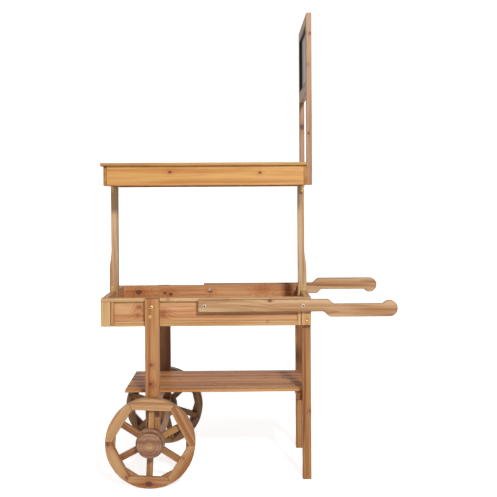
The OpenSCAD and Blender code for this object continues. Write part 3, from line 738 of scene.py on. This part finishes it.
class CART_OT_tray_sides(CartOperator):
    """Build the tray's side panels and the frame strips laid on them"""
    bl_idname = "cart.tray_sides"
    bl_label = "Tray Sides"

    def execute(self, context):
        colours = context.scene.cart_colours
        finish = pine("strip pine", colours.strip, scatter=0.05)
        for side, sign in SIDES:
            self.panel(side, colours)
            leg = Box(f"{side}_wheel_leg")
            for strip in ("top", "bottom"):
                node = f"{side}_{strip}_strip"
                box = Box(node)
                bm = timber()
                board(bm, node + " front", box.low, (leg.low.x, *box.high[1:]), X)
                board(bm, node + " rear", (leg.high.x, *box.low[1:]), box.high, X)
                piece(node, bm, "strip_pine", finish)
            self.corners(side, sign, colours)
        return {"FINISHED"}

    def panel(self, side, colours):
        node = f"{side}_panel"
        # The right panel's knots show over the near side of the tray.
        placed = {
            "left": (
                (-0.256, 0.017, 0.008, 0.5), (-0.262, -0.012, 0.006, 0.4), (-0.165, -0.006, 0.009, 0.35),
            ),
            "right": (
                (-0.311, 0.026, 0.0115, 0.85), (-0.198, 0.021, 0.0055, 1), (-0.172, 0.016, 0.0065, 1),
                (0.0, 0.026, 0.006, 0.8), (0.224, 0.037, 0.011, 0.12),
            ),
        }[side]
        knots = [(node, *knot) for knot in placed]
        finish = pine(f"panel pine {side}", colours.panel, knots, scatter=0, variation=0.6)
        one_board(node, X, "panel_pine", finish)

    def corners(self, side, sign, colours):
        node = f"{side}_corner_strips"
        box, inner = Box(node), Box(f"{side}_bottom_strip")
        wide, narrow, thin = 37 * MM, 12 * MM, 10 * MM
        panel_face = min(abs(box.low.y), abs(box.high.y)) * sign
        bm = timber()
        for end in (-1, 1):
            edge = box.low.x if end < 0 else box.high.x
            start = inner.low.x if end < 0 else inner.high.x
            spans = ((edge, edge - end * wide, box.size.y), (start, start + end * narrow, thin))
            for i, (x0, x1, depth) in enumerate(spans):
                opposite = (x1, panel_face + sign * depth, box.high.z)
                board(bm, f"{node} {end} {i}", (x0, panel_face, box.low.z), opposite, Z)
        finish = pine("corner pine", colours.strip, scatter=0.03, variation=0.7)
        piece(node, bm, "strip_pine", finish)


class CART_OT_tray_inside(CartOperator):
    """Build the tray's end boards, floor boards and battens"""
    bl_idname = "cart.tray_inside"
    bl_label = "Tray Ends and Floor"

    def execute(self, context):
        colours = context.scene.cart_colours
        finish = pine("panel pine", colours.panel, scatter=0.2)
        front, rear, leg = Box("front_end_board"), Box("rear_end_board"), Box("left_rear_leg")
        gap = 0.5 * MM
        between_legs = -leg.high.y - gap
        bm = timber()
        board(bm, "front end", front.low, front.high, Y)
        piece("front_end_board", bm, "panel_pine", finish)

        notch = leg.high.z + gap - rear.middle.z
        half_y, half_z = rear.size.y / 2, rear.size.z / 2
        right_half = [(between_legs, -half_z), (between_legs, notch), (half_y, notch), (half_y, half_z)]
        outline = [(-y, z) for y, z in reversed(right_half)] + right_half
        bm = timber()
        sawn(bm, "rear end", outline, rear.size.x, facing(rear.middle, (0, 1, 0), (0, 0, 1)))
        piece("rear_end_board", bm, "panel_pine", finish)

        count = 5
        bm = timber()
        for i, low, high in row(Box("tray_floor"), count, 4 * MM):
            if i in (0, count - 1):
                high.x = leg.low.x - gap
            board(bm, f"floor {i}", low, high, X)
        piece("tray_floor", bm, "panel_pine", finish)

        battens = Box("floor_battens")
        square = battens.size.z
        middle = (front.low.x + rear.high.x - square) / 2
        wide = battens.high.y
        spans = (battens.low.x, wide), (middle, wide), (battens.high.x - square, between_legs)
        bm = timber()
        for i, (x, y) in enumerate(spans):
            board(bm, f"batten {i}", (x, -y, battens.low.z), (x + square, y, battens.high.z), Y)
        piece("floor_battens", bm, "leg_pine", pine("dark leg pine", colours.dark_leg))
        return {"FINISHED"}


class CART_OT_legs(CartOperator):
    """Build the wheel legs, the rear legs and the axle beam"""
    bl_idname = "cart.legs"
    bl_label = "Legs and Axle Beam"

    def execute(self, context):
        colours = context.scene.cart_colours
        knot = ("left_wheel_leg", -0.047, -0.0016, 0.006, 0.2)
        dark = pine("dark leg pine", colours.dark_leg)
        for side, _ in SIDES:
            # The right leg's colour is darkened as painted shade.
            shade = side_painted_shade(side, colours.leg, "leg")
            finish = pine(f"leg pine {side}", shade, [knot], scatter=0.1, variation=0.3)
            one_board(f"{side}_wheel_leg", Z, "leg_pine", finish, SOFT_EDGE)
            one_board(f"{side}_rear_leg", Z, "leg_pine", dark, SOFT_EDGE)
        one_board("axle_beam", Y, "leg_pine", dark, SOFT_EDGE)
        return {"FINISHED"}


class CART_OT_lower_shelf(CartOperator):
    """Build the slats of the lower shelf and the bars under them"""
    bl_idname = "cart.lower_shelf"
    bl_label = "Lower Shelf"

    def execute(self, context):
        colours = context.scene.cart_colours
        for i, tint in enumerate((1.0, 0.93, 1.04, 0.95, 1.02, 0.9), 1):
            finish = pine(f"slat pine {i}", shaded(colours.slat, tint), scatter=0.2, variation=0.5)
            one_board(f"shelf_slat_{i}", X, "slat_pine", finish, SOFT_EDGE)
        for node in ("front_shelf_bar", "rear_shelf_bar"):
            one_board(node, Y, "leg_pine", pine("dark leg pine", colours.dark_leg))
        return {"FINISHED"}


class CART_OT_posts(CartOperator):
    """Build the two posts with their flared feet and their tongues"""
    bl_idname = "cart.posts"
    bl_label = "Posts"

    def execute(self, context):
        tray, shelf = Box("front_end_board"), Box("top_front_board")
        flare, flare_low, flare_high = 8 * MM, 85 * MM, 170 * MM
        foot, thickness, notch = tray.high.z, tray.size.x, shelf.high.x - tray.low.x
        knots = [("front_post", 0.212, 0.016, 0.004, 0.9), ("rear_post", 0.183, 0.020, 0.0045, 1)]
        finish = pine("post pine", context.scene.cart_colours.post, knots, scatter=0.1, variation=0.4)
        for node, end in (("front_post", 1), ("rear_post", -1)):
            box = Box(node)
            middle, depth = box.middle.z, box.size.x
            outline = [
                (foot, thickness), (box.low.z, thickness), (box.low.z, depth), (box.high.z, depth),
                (box.high.z, notch), (shelf.low.z, notch), (shelf.low.z, flare),
                *s_curve((foot + flare_high, flare), (foot + flare_low, 0), 14), (foot, 0),
            ]
            start = (box.low.x if end > 0 else box.high.x, box.middle.y, middle)
            place = facing(start, (0, 0, 1), (end, 0, 0))
            bm = timber()
            sawn(bm, node, [(z - middle, out) for z, out in outline], box.size.y, place)
            piece(node, bm, "post_pine", finish)
        return {"FINISHED"}


class CART_OT_brackets(CartOperator):
    """Build the brass angle brackets at the posts' feet and heads"""
    bl_idname = "cart.brackets"
    bl_label = "Post Brackets"

    def execute(self, context):
        post = Box("front_post")
        long = Box("post_brackets").high.y - post.high.y
        foot, head = Box("front_end_board"), Box("top_front_board")
        middle = Box("front_end_board", "rear_end_board").middle.x
        bm = bmesh.new()
        for x, z, up in ((foot.middle.x, foot.high.z, 1), (head.middle.x, head.low.z, -1)):
            for end in (-1, 1):
                for side in (-1, 1):
                    at = (middle + (x - middle) * end, side * post.high.y, z)
                    self.leaf(bm, facing(at, (0, side, 0), (-side * up, 0, 0)), long)
                    self.leaf(bm, facing(at, (0, 0, up), (side * up, 0, 0)), long)
        plate = metal("brass plate", shaded(context.scene.cart_colours.brass, 0.86), 0.42)
        piece("post_brackets", bm, "brass", plate, recess_painted_shade())
        return {"FINISHED"}

    def leaf(self, bm, place, long):
        """One leaf from the corner along its own X, with clipped corners and a screw in it."""
        half, thick, clip = 6 * MM, 2 * MM, 3.6 * MM
        face = flat_face(bm, [
            (0, -half), (long - clip, -half), (long, clip - half),
            (long, half - clip), (long - clip, half), (0, half),
        ])
        low = face.verts[:]
        bmesh.ops.transform(bm, matrix=place, verts=low + thicken(bm, face, thick))
        screw = place @ Matrix.Translation((long * 0.62, 0, thick))
        turned_head(bm, screw, *LEAF_SCREW_HEAD, points=16)


class CART_OT_upper_shelf(CartOperator):
    """Build the upper shelf: its four boards, planks and batten"""
    bl_idname = "cart.upper_shelf"
    bl_label = "Upper Shelf"

    def execute(self, context):
        colour_value = context.scene.cart_colours.top
        knots = [
            ("top_left_board", -0.135, 0.0138, 0.0055, 1), ("top_left_board", 0.2085, 0.0099, 0.005, 1),
        ]
        apron = pine("top pine", colour_value, knots, scatter=0, variation=0.15, contrast=0.3)
        ends = pine("top end pine", colour_value, scatter=0.1, variation=0.4)
        for node in ("top_left_board", "top_right_board"):
            one_board(node, X, "top_pine", apron)
        for node in ("top_front_board", "top_rear_board", "top_batten"):
            one_board(node, Y, "top_pine", ends)
        bm = timber()
        for i, low, high in row(Box("top_planks"), 5, 2 * MM):
            board(bm, f"plank {i}", low, high, X)
        finish = pine("plank pine", shaded(colour_value, 0.92), scatter=0.16, variation=0.7)
        piece("top_planks", bm, "top_pine", finish)
        return {"FINISHED"}


class CART_OT_sign(CartOperator):
    """Build the sign: its uprights, rails, chalkboard and the dark beads that paint the shade in the
    chalkboard's recess
    """
    bl_idname = "cart.sign"
    bl_label = "Sign"

    def execute(self, context):
        colour_value = context.scene.cart_colours.sign
        left, right = "left_sign_upright", "right_sign_upright"
        knots = [
            (left, 0.250, -0.003, 0.005, 0.9, True), (left, -0.132, 0.003, 0.0042, 0.95, True),
            (left, 0.132, 0.003, 0.0045, 0.25, True), (right, -0.076, 0.0, 0.009, 1, True),
        ]
        uprights = pine("sign pine", colour_value, knots, scatter=0.06, variation=0.35)
        rails = pine("rail pine", colour_value, scatter=0.1, variation=0.5)
        for node in (left, right):
            one_board(node, Z, "sign_pine", uprights)
        for node in ("sign_top_rail", "sign_bottom_rail"):
            one_board(node, Y, "sign_pine", rails)
        one_board("chalkboard", Z, "slate", slate_and_sheen_material(), 0.4 * MM)
        self.beads(Box("chalkboard"))
        return {"FINISHED"}

    def beads(self, slate):
        # Near-black beads line the recess round the chalkboard as painted shade.
        box = Box("chalkboard_beads")
        bead, gap, arris = 4 * MM, 0.4 * MM, 0.7 * MM
        outer = box.high.y
        bar = outer - bead - gap
        bm = timber()
        for face, (x0, x1) in enumerate(((box.low.x, slate.low.x), (slate.high.x, box.high.x))):
            for side in (-1, 1):
                one, other = (x0, side * outer, box.low.z), (x1, side * (outer - bead), box.high.z)
                board(bm, f"bead {face} {side}", one, other, Z, arris)
            for z0 in (box.low.z, box.high.z - bead):
                board(bm, f"bar {face} {z0:.3f}", (x0, -bar, z0), (x1, bar, z0 + bead), Y, arris)
        piece("chalkboard_beads", bm, "dark_bead", painted_shade_bead_material())


class CART_OT_handles(CartOperator):
    """Build the two shaped handles and the packing blocks behind them"""
    bl_idname = "cart.handles"
    bl_label = "Handles"

    def execute(self, context):
        colours = context.scene.cart_colours
        knots = [
            ("left_handle", -0.1576, 0.0190, 0.0062, 0.9), ("right_handle", 0.28, 0.01, 0.004, 0.2),
        ]
        finish = pine("handle pine", colours.handle, knots, scatter=0.04, variation=0.3, ring=0.0062)
        tray, panel, packers = Box("rear_end_board"), Box("right_panel"), Box("handle_packers")
        for side, sign in SIDES:
            node = f"{side}_handle"
            box = Box(node)
            place = facing((tray.high.x, box.middle.y, root_middle(side)), (1, 0, 0), (0, 0, -sign))
            bm = timber()
            sawn(bm, node, self.outline(tray.high.x - box.low.x), box.size.y, place, 3 * MM, 3)
            piece(node, bm, "handle_pine", finish)
        long = 50 * MM
        bm = timber()
        for side, sign in SIDES:
            one = (packers.low.x, sign * packers.high.y, root_middle(side) - HANDLE_ROOT / 2)
            other = (packers.low.x + long, sign * panel.high.y, packers.high.z)
            board(bm, f"packer {side}", one, other, X)
        piece("handle_packers", bm, "panel_pine", pine("panel pine", colours.panel))
        return {"FINISHED"}

    def outline(self, root):
        """A handle's side view from the tray's rear end: a straight root, a lower grip and a round knob."""
        half, steps, arc = HANDLE_ROOT / 2, 10, 32
        grip_top, grip_bottom, knob, reach = 5.75 * MM, -43.75 * MM, 31 * MM, 296 * MM
        below = s_curve((42 * MM, -half), (72 * MM, grip_bottom), steps)
        above = s_curve((88 * MM, grip_top), (61 * MM, half), steps)
        knob_y = grip_bottom + knob
        first, last = -math.pi / 2, math.pi - math.asin((grip_top - knob_y) / knob)
        angles = [first + (last - first) * i / arc for i in range(arc + 1)]
        end = [(reach + knob * math.cos(a), knob_y + knob * math.sin(a)) for a in angles]
        return [(-root, half), (-root, -half), *below, *end, *above]


class CART_OT_fasteners(CartOperator):
    """Build the bolts of the handles and the screws of the legs, the slats and the sign"""
    bl_idname = "cart.fasteners"
    bl_label = "Bolts and Screws"

    def execute(self, context):
        colours = context.scene.cart_colours
        steel = metal("plated steel", colours.steel, 0.38)
        brass = metal("brass screw", colours.brass, 0.3)
        for node, slot, finish, build in (
            ("handle_bolts", "steel", steel, self.bolts),
            ("leg_screws", "brass", brass, self.leg_screws),
            ("slat_screws", "steel", steel, self.slat_screws),
            ("sign_screws", "steel", steel, self.sign_screws),
        ):
            bm = bmesh.new()
            build(bm)
            piece(node, bm, slot, finish, recess_painted_shade())
        for node in ("axle_rod", "axle_washers", "axle_nuts"):
            mesh = frame["nodes"][node].data
            mesh.materials.clear()
            mesh.materials.append(steel)
        return {"FINISHED"}

    def bolts(self, bm):
        """A head outside each handle, and a washer, a nut and the shank's end inside the panel."""
        box, handle, panel = Box("handle_bolts"), Box("left_handle"), Box("left_panel")
        radius, below_strip = BOLT_HEAD[0], 7 * MM
        washer, nut, shank = (6 * MM, 1.6 * MM), (6.27 * MM, 4.5 * MM), (3 * MM, 2.4 * MM)
        for side, sign in SIDES:
            z = min(root_middle(side), Box(f"{side}_top_strip").low.z - below_strip)
            for x in (box.low.x + radius, box.high.x - radius):
                turned_head(bm, outward((x, sign * -handle.low.y, z), sign), *BOLT_HEAD)
                height = 0
                for (size, thick), points in ((washer, 24), (nut, 6), (shank, 16)):
                    inside = outward((x, sign * -panel.high.y, z), -sign)
                    disc(bm, inside @ Matrix.Translation((0, 0, height)), size, thick, points)
                    height += thick

    def leg_screws(self, bm):
        leg, tray, rear = Box("left_wheel_leg"), Box("left_panel"), Box("left_rear_leg")
        strip = Box("left_corner_strips")
        places = (
            (leg.middle.x - 1 * MM, leg.low.y, tray.high.z - 33 * MM),
            (leg.middle.x - 7 * MM, leg.low.y, tray.high.z - 69 * MM),
            (rear.middle.x, strip.low.y, tray.low.z + 14 * MM),
            (rear.middle.x, strip.low.y, tray.low.z + 36 * MM),
        )
        for _, sign in SIDES:
            for x, y, z in places:
                turned_head(bm, outward((x, sign * -y, z), sign), *LEG_SCREW_HEAD)

    def slat_screws(self, bm):
        sunk = 0.3 * MM
        for i in range(1, 7):
            slat = Box(f"shelf_slat_{i}")
            for bar in (Box("front_shelf_bar"), Box("rear_shelf_bar")):
                at = (bar.middle.x, slat.middle.y, slat.high.z - sunk)
                turned_head(bm, facing(at, (1, 0, 0), (0, 1, 0)), *SLAT_SCREW_HEAD)

    def sign_screws(self, bm):
        for side, _ in SIDES:
            upright = Box(f"{side}_sign_upright")
            for rise in (18 * MM, 57 * MM):
                at = (upright.high.x, upright.middle.y, upright.low.z + rise)
                turned_head(bm, facing(at, (0, 1, 0), (0, 0, 1)), *SIGN_SCREW_HEAD)


class CART_OT_wheels(CartOperator):
    """Build both wheels: two layers of rim pieces, spokes, turned hub and cap"""
    bl_idname = "cart.wheels"
    bl_label = "Wheels"

    def execute(self, context):
        colours = context.scene.cart_colours
        hinges = {joint["child"]: joint["pos_m"] for joint in frame["joints"]}
        for side, sign in SIDES:
            inner = Box(f"{side}_wheel_inner_felloes")
            x, _, z = hinges[f"{side}_wheel"]
            layer = inner.size.y
            back = (x, inner.middle.y - sign * layer / 2, z)
            # The wheel's own X runs along the cart and its Z points out of the cart.
            turn = Matrix.Rotation(math.radians(WHEEL_TURNS[side]), 4, "Z")
            stand = Matrix.Translation(back) @ flipped(sign) @ Matrix.Rotation(math.pi / 2, 4, "X") @ turn
            self.rim(side, "outer", stand, 180 / SPOKES, layer, layer, OUTER_CHORD, colours)
            self.rim(side, "inner", stand, 0, 0, layer, INNER_CHORD, colours)
            self.spokes(side, stand, layer, colours)
            self.hub(side, stand, layer, colours)
        return {"FINISHED"}

    def rim(self, side, layer_name, stand, first, height, layer, chord, colours):
        """One layer of rim pieces, each a slice of a disc with a straight inner edge."""
        node = f"{side}_wheel_{layer_name}_felloes"
        radius, half = Box(node).size.z / 2, math.pi / SPOKES
        cuts = [((0, chord, 0), (0, -1, 0))]
        for way in (-1, 1):
            normal = Vector((way * math.cos(half), -math.sin(half), 0))
            cuts.append((-normal * RIM_GAP / 2, normal))
        bm = timber()
        for i in range(SPOKES):
            bmesh.ops.create_circle(bm, cap_ends=True, segments=96, radius=radius)
            for point, normal in cuts:
                face = unmarked(bm)[0].link_faces[0]
                bmesh.ops.bisect_plane(
                    bm, geom=[face, *face.edges, *face.verts], dist=1e-7,
                    plane_co=point, plane_no=normal, clear_outer=True,
                )
            thicken(bm, unmarked(bm)[0].link_faces[0], layer)
            angle = math.radians(first + i * 360 / SPOKES) - math.pi / 2
            place = stand @ Matrix.Rotation(angle, 4, "Z") @ Matrix.Translation((0, 0, height))
            dress(bm, f"{node} {i}", place, 0.8 * MM)
        knots = [
            ("left_wheel_outer_felloes 4", -0.001, 0.149, 0.0105, 1),
            ("left_wheel_outer_felloes 3", 0.075, 0.139, 0.009, 0.75),
            ("left_wheel_outer_felloes 3", -0.071, 0.136, 0.007, 0.6),
            ("left_wheel_outer_felloes 5", -0.02, 0.133, 0.005, 0.5),
        ]
        # The right wheel's rim colour is darkened as painted shade.
        shade = side_painted_shade(side, colours.rim, "rim")
        finish = pine(f"rim pine {side} {layer_name}", shade, knots, scatter=0.12, variation=0.6)
        piece(node, bm, "wheel_pine", finish, body=f"{side}_wheel")

    def spokes(self, side, stand, layer, colours):
        """Spokes from the hub, each with a pointed tip between two pieces of the inner layer."""
        node = f"{side}_wheel_spokes"
        half, root = 23.5 * MM / 2, 50 * MM
        tip = (INNER_CHORD - RIM_GAP) / math.cos(math.pi / SPOKES)
        shoulder = tip - half * math.tan(math.pi / SPOKES)
        middle = (root + tip) / 2
        outline = [(root, -half), (shoulder, -half), (tip, 0), (shoulder, half), (root, half)]
        bm = timber()
        for i in range(SPOKES):
            turn = Matrix.Rotation(math.radians((i + 0.5) * 360 / SPOKES), 4, "Z")
            place = stand @ turn @ Matrix.Translation((middle, 0, layer / 2))
            sawn(bm, f"{node} {i}", [(x - middle, y) for x, y in outline], layer, place, 1.5 * MM)
        # The right wheel's spokes are darkened as painted shade.
        shade = side_painted_shade(side, colours.spoke, "spoke")
        finish = pine(f"spoke pine {side}", shade, scatter=0.08, variation=0.7)
        piece(node, bm, "wheel_pine", finish, body=f"{side}_wheel")

    def hub(self, side, stand, layer, colours):
        """The hub with its grooved nose, and the domed cap in the nose's middle."""
        node, cap = f"{side}_wheel_hub", f"{side}_wheel_cap"
        long = Box(node).size.y
        wide, nose, hole = 54 * MM, 47 * MM, 12 * MM
        back, chamfer, edge, groove, recess = 0.6 * MM, 3 * MM, 5 * MM, 1.5 * MM, 22 * MM
        shoulder = 2 * layer + 2 * MM
        profile = [
            (hole, back), (wide - 4 * MM, back), (wide, back + 2 * MM), (wide, shoulder - chamfer),
            (wide - chamfer, shoulder), (nose, shoulder),
        ]
        for angle in (math.radians(i * 15) for i in range(7)):
            profile.append((nose - edge + edge * math.cos(angle), long - edge + edge * math.sin(angle)))
        for r in (nose * 0.78, nose * 0.52):
            profile += [(r + groove, long), (r, long - groove), (r - groove, long)]
        profile += [(hole, long), (hole, long - recess)]
        dome = 2 * MM
        cap_profile = [(hole, -7 * MM), (hole, 0), (hole * 0.8, dome * 0.6), (hole * 0.4, dome), (0, dome)]
        for name, points, shift, value in (
            (node, profile, 0, colours.hub), (cap, cap_profile, long, colours.cap),
        ):
            bm = timber()
            self.turn_profile(bm, points)
            # The grain runs across the face, so the turned face shows long arches.
            dress(bm, name, stand @ Matrix.Translation((0, 0, shift)), 0)
            # The right wheel's hub and cap are darkened as painted shade.
            shade = side_painted_shade(side, value, "hub")
            finish = pine(f"{name} pine", shade, scatter=0, variation=0, ring=0.0068, contrast=0.7)
            piece(name, bm, "hub_pine", finish, body=f"{side}_wheel")

    def turn_profile(self, bm, profile):
        """Spins a profile of (radius, height) round the axle and closes its ends."""
        points = [bm.verts.new((r, 0, z)) for r, z in profile]
        edges = [bm.edges.new(pair) for pair in zip(points, points[1:])]
        bmesh.ops.spin(
            bm, geom=points + edges, cent=(0, 0, 0), axis=(0, 0, 1), dvec=(0, 0, 0),
            angle=math.tau, steps=96, use_merge=True, use_duplicate=False,
        )
        bmesh.ops.remove_doubles(bm, verts=bm.verts[:], dist=1e-6)
        bmesh.ops.holes_fill(bm, edges=[e for e in bm.edges if e.is_boundary], sides=0)


class CART_OT_stage(CartOperator):
    """Build the floor with its backdrop, the lights and the camera"""
    bl_idname = "cart.stage"
    bl_label = "Stage"

    def execute(self, context):
        studio = context.scene.cart_studio
        self.floor(studio)
        self.camera()
        self.lamp("key light", (1.3, -5.4, 3.7), (0.0, 0.0, 0.75), 0.6, studio.key)
        self.lamp("fill light", (-3.2, -2.4, 2.0), (0.0, 0.0, 0.8), 2.4, studio.fill)
        self.lamp("back light", (-1.6, 4.6, 3.0), (0.0, 0.0, 0.8), 2.4, studio.back, gloss=False)
        world = bpy.data.worlds.new("studio")
        context.scene.world = world
        world.use_nodes = True
        t = Tree(world.node_tree)
        t.wire(world.node_tree.nodes["Background"].inputs, {
            "Color": (1, 1, 1, 1),
            "Strength": t.add("MapRange", {0: self.seen(t), 3: studio.sky, 4: 1.0}),
        })
        context.scene.view_settings.view_transform = "Standard"
        return {"FINISHED"}

    def seen(self, t):
        """1 for what the camera sees, less for what is seen in a gloss, and 0 for the light that falls."""
        gloss = t.times(t.add("LightPath", out="Is Glossy Ray"), 0.7)
        return t.plus(t.add("LightPath", out="Is Camera Ray"), gloss, clamp=True)

    def floor(self, studio):
        """A floor that curves up into a backdrop behind the cart."""
        near, far, height, bend, half, steps = -9.0, 6.0, 9.0, 3.0, 14.0, 16
        line = [(near, 0.0)]
        for angle in (math.pi / 2 * i / steps for i in range(steps + 1)):
            line.append((far - bend + bend * math.sin(angle), bend - bend * math.cos(angle)))
        line.append((far, height))
        bm = bmesh.new()
        points = [bm.verts.new((-half, y, z)) for y, z in line]
        edges = [bm.edges.new(pair) for pair in zip(points, points[1:])]
        moved = verts_of(bmesh.ops.extrude_edge_only(bm, edges=edges)["geom"])
        bmesh.ops.translate(bm, vec=(2 * half, 0, 0), verts=moved)
        bmesh.ops.recalc_face_normals(bm, faces=bm.faces[:])
        for f in bm.faces:
            f.smooth = True

        material, t, shader = new_material("studio floor")
        base = linear(studio.floor)
        mottle = t.noise(t.add("TexCoord", out="Object"), 1.0, 3, 3)
        t.wire(shader, {
            "Base Color": t.mix(mottle, base, scaled_colour(base, 0.985)),
            "Roughness": 0.9, "Specular IOR Level": 0.1,
            # The floor glows a little to the eye and in a gloss, and adds no light of its own.
            "Emission Color": (1, 1, 1, 1), "Emission Strength": t.times(self.seen(t), studio.glow),
        })
        new_object("studio_floor", bm, material)

    def camera(self):
        data = bpy.data.cameras.new("camera")
        data.sensor_width = 36
        data.lens = 63.0
        data.shift_y = -0.081
        data.clip_end = 60
        camera = bpy.data.objects.new("camera", data)
        yaw, pitch, roll = (math.radians(a) for a in (0.45, 0.66, -0.36))
        ahead = Vector((
            math.sin(yaw) * math.cos(pitch), math.cos(yaw) * math.cos(pitch), -math.sin(pitch),
        ))
        level = Vector((math.cos(yaw), -math.sin(yaw), 0))
        upright = level.cross(ahead)
        right = level * math.cos(roll) + upright * math.sin(roll)
        up = upright * math.cos(roll) - level * math.sin(roll)
        turn = Matrix((right, up, -ahead)).transposed().to_4x4()
        camera.matrix_world = Matrix.Translation((-0.0255, -3.552, 1.081)) @ turn
        bpy.context.scene.collection.objects.link(camera)
        bpy.context.scene.camera = camera

    def lamp(self, name, place, target, size, power, gloss=True):
        data = bpy.data.lights.new(name, "AREA")
        data.size = size
        data.energy = power
        lamp = bpy.data.objects.new(name, data)
        lamp.location = place
        lamp.rotation_euler = (Vector(target) - Vector(place)).to_track_quat("-Z", "Y").to_euler()
        lamp.visible_glossy = gloss
        bpy.context.scene.collection.objects.link(lamp)


OPERATORS = (
    CART_OT_tray_sides, CART_OT_tray_inside, CART_OT_legs, CART_OT_lower_shelf, CART_OT_posts,
    CART_OT_brackets, CART_OT_upper_shelf, CART_OT_sign, CART_OT_handles, CART_OT_fasteners,
    CART_OT_wheels, CART_OT_stage,
)


class CART_PT_panel(bpy.types.Panel):
    """Lists the cart's pieces and settings in the sidebar"""
    bl_idname = "CART_PT_panel"
    bl_label = "Push Vending Cart"
    bl_space_type = "VIEW_3D"
    bl_region_type = "UI"
    bl_category = "Vending Cart"

    def draw(self, context):
        layout = self.layout
        for operator in OPERATORS:
            layout.operator(operator.bl_idname)
        for settings in (context.scene.cart_colours, context.scene.cart_grain, context.scene.cart_studio):
            column = layout.box().column()
            for name in settings.__annotations__:
                column.prop(settings, name)


SETTINGS = {"cart_colours": CartColours, "cart_grain": CartGrain, "cart_studio": CartStudio}
CLASSES = (*SETTINGS.values(), *OPERATORS, CART_PT_panel)


def register():
    for cls in CLASSES:
        bpy.utils.register_class(cls)
    for name, cls in SETTINGS.items():
        setattr(bpy.types.Scene, name, PointerProperty(type=cls))


def unregister():
    for name in SETTINGS:
        delattr(bpy.types.Scene, name)
    for cls in reversed(CLASSES):
        bpy.utils.unregister_class(cls)


def main():
    register()
    for operator in OPERATORS:
        getattr(bpy.ops.cart, operator.bl_idname.split(".")[1])()


if __name__ == "__main__":
    main()
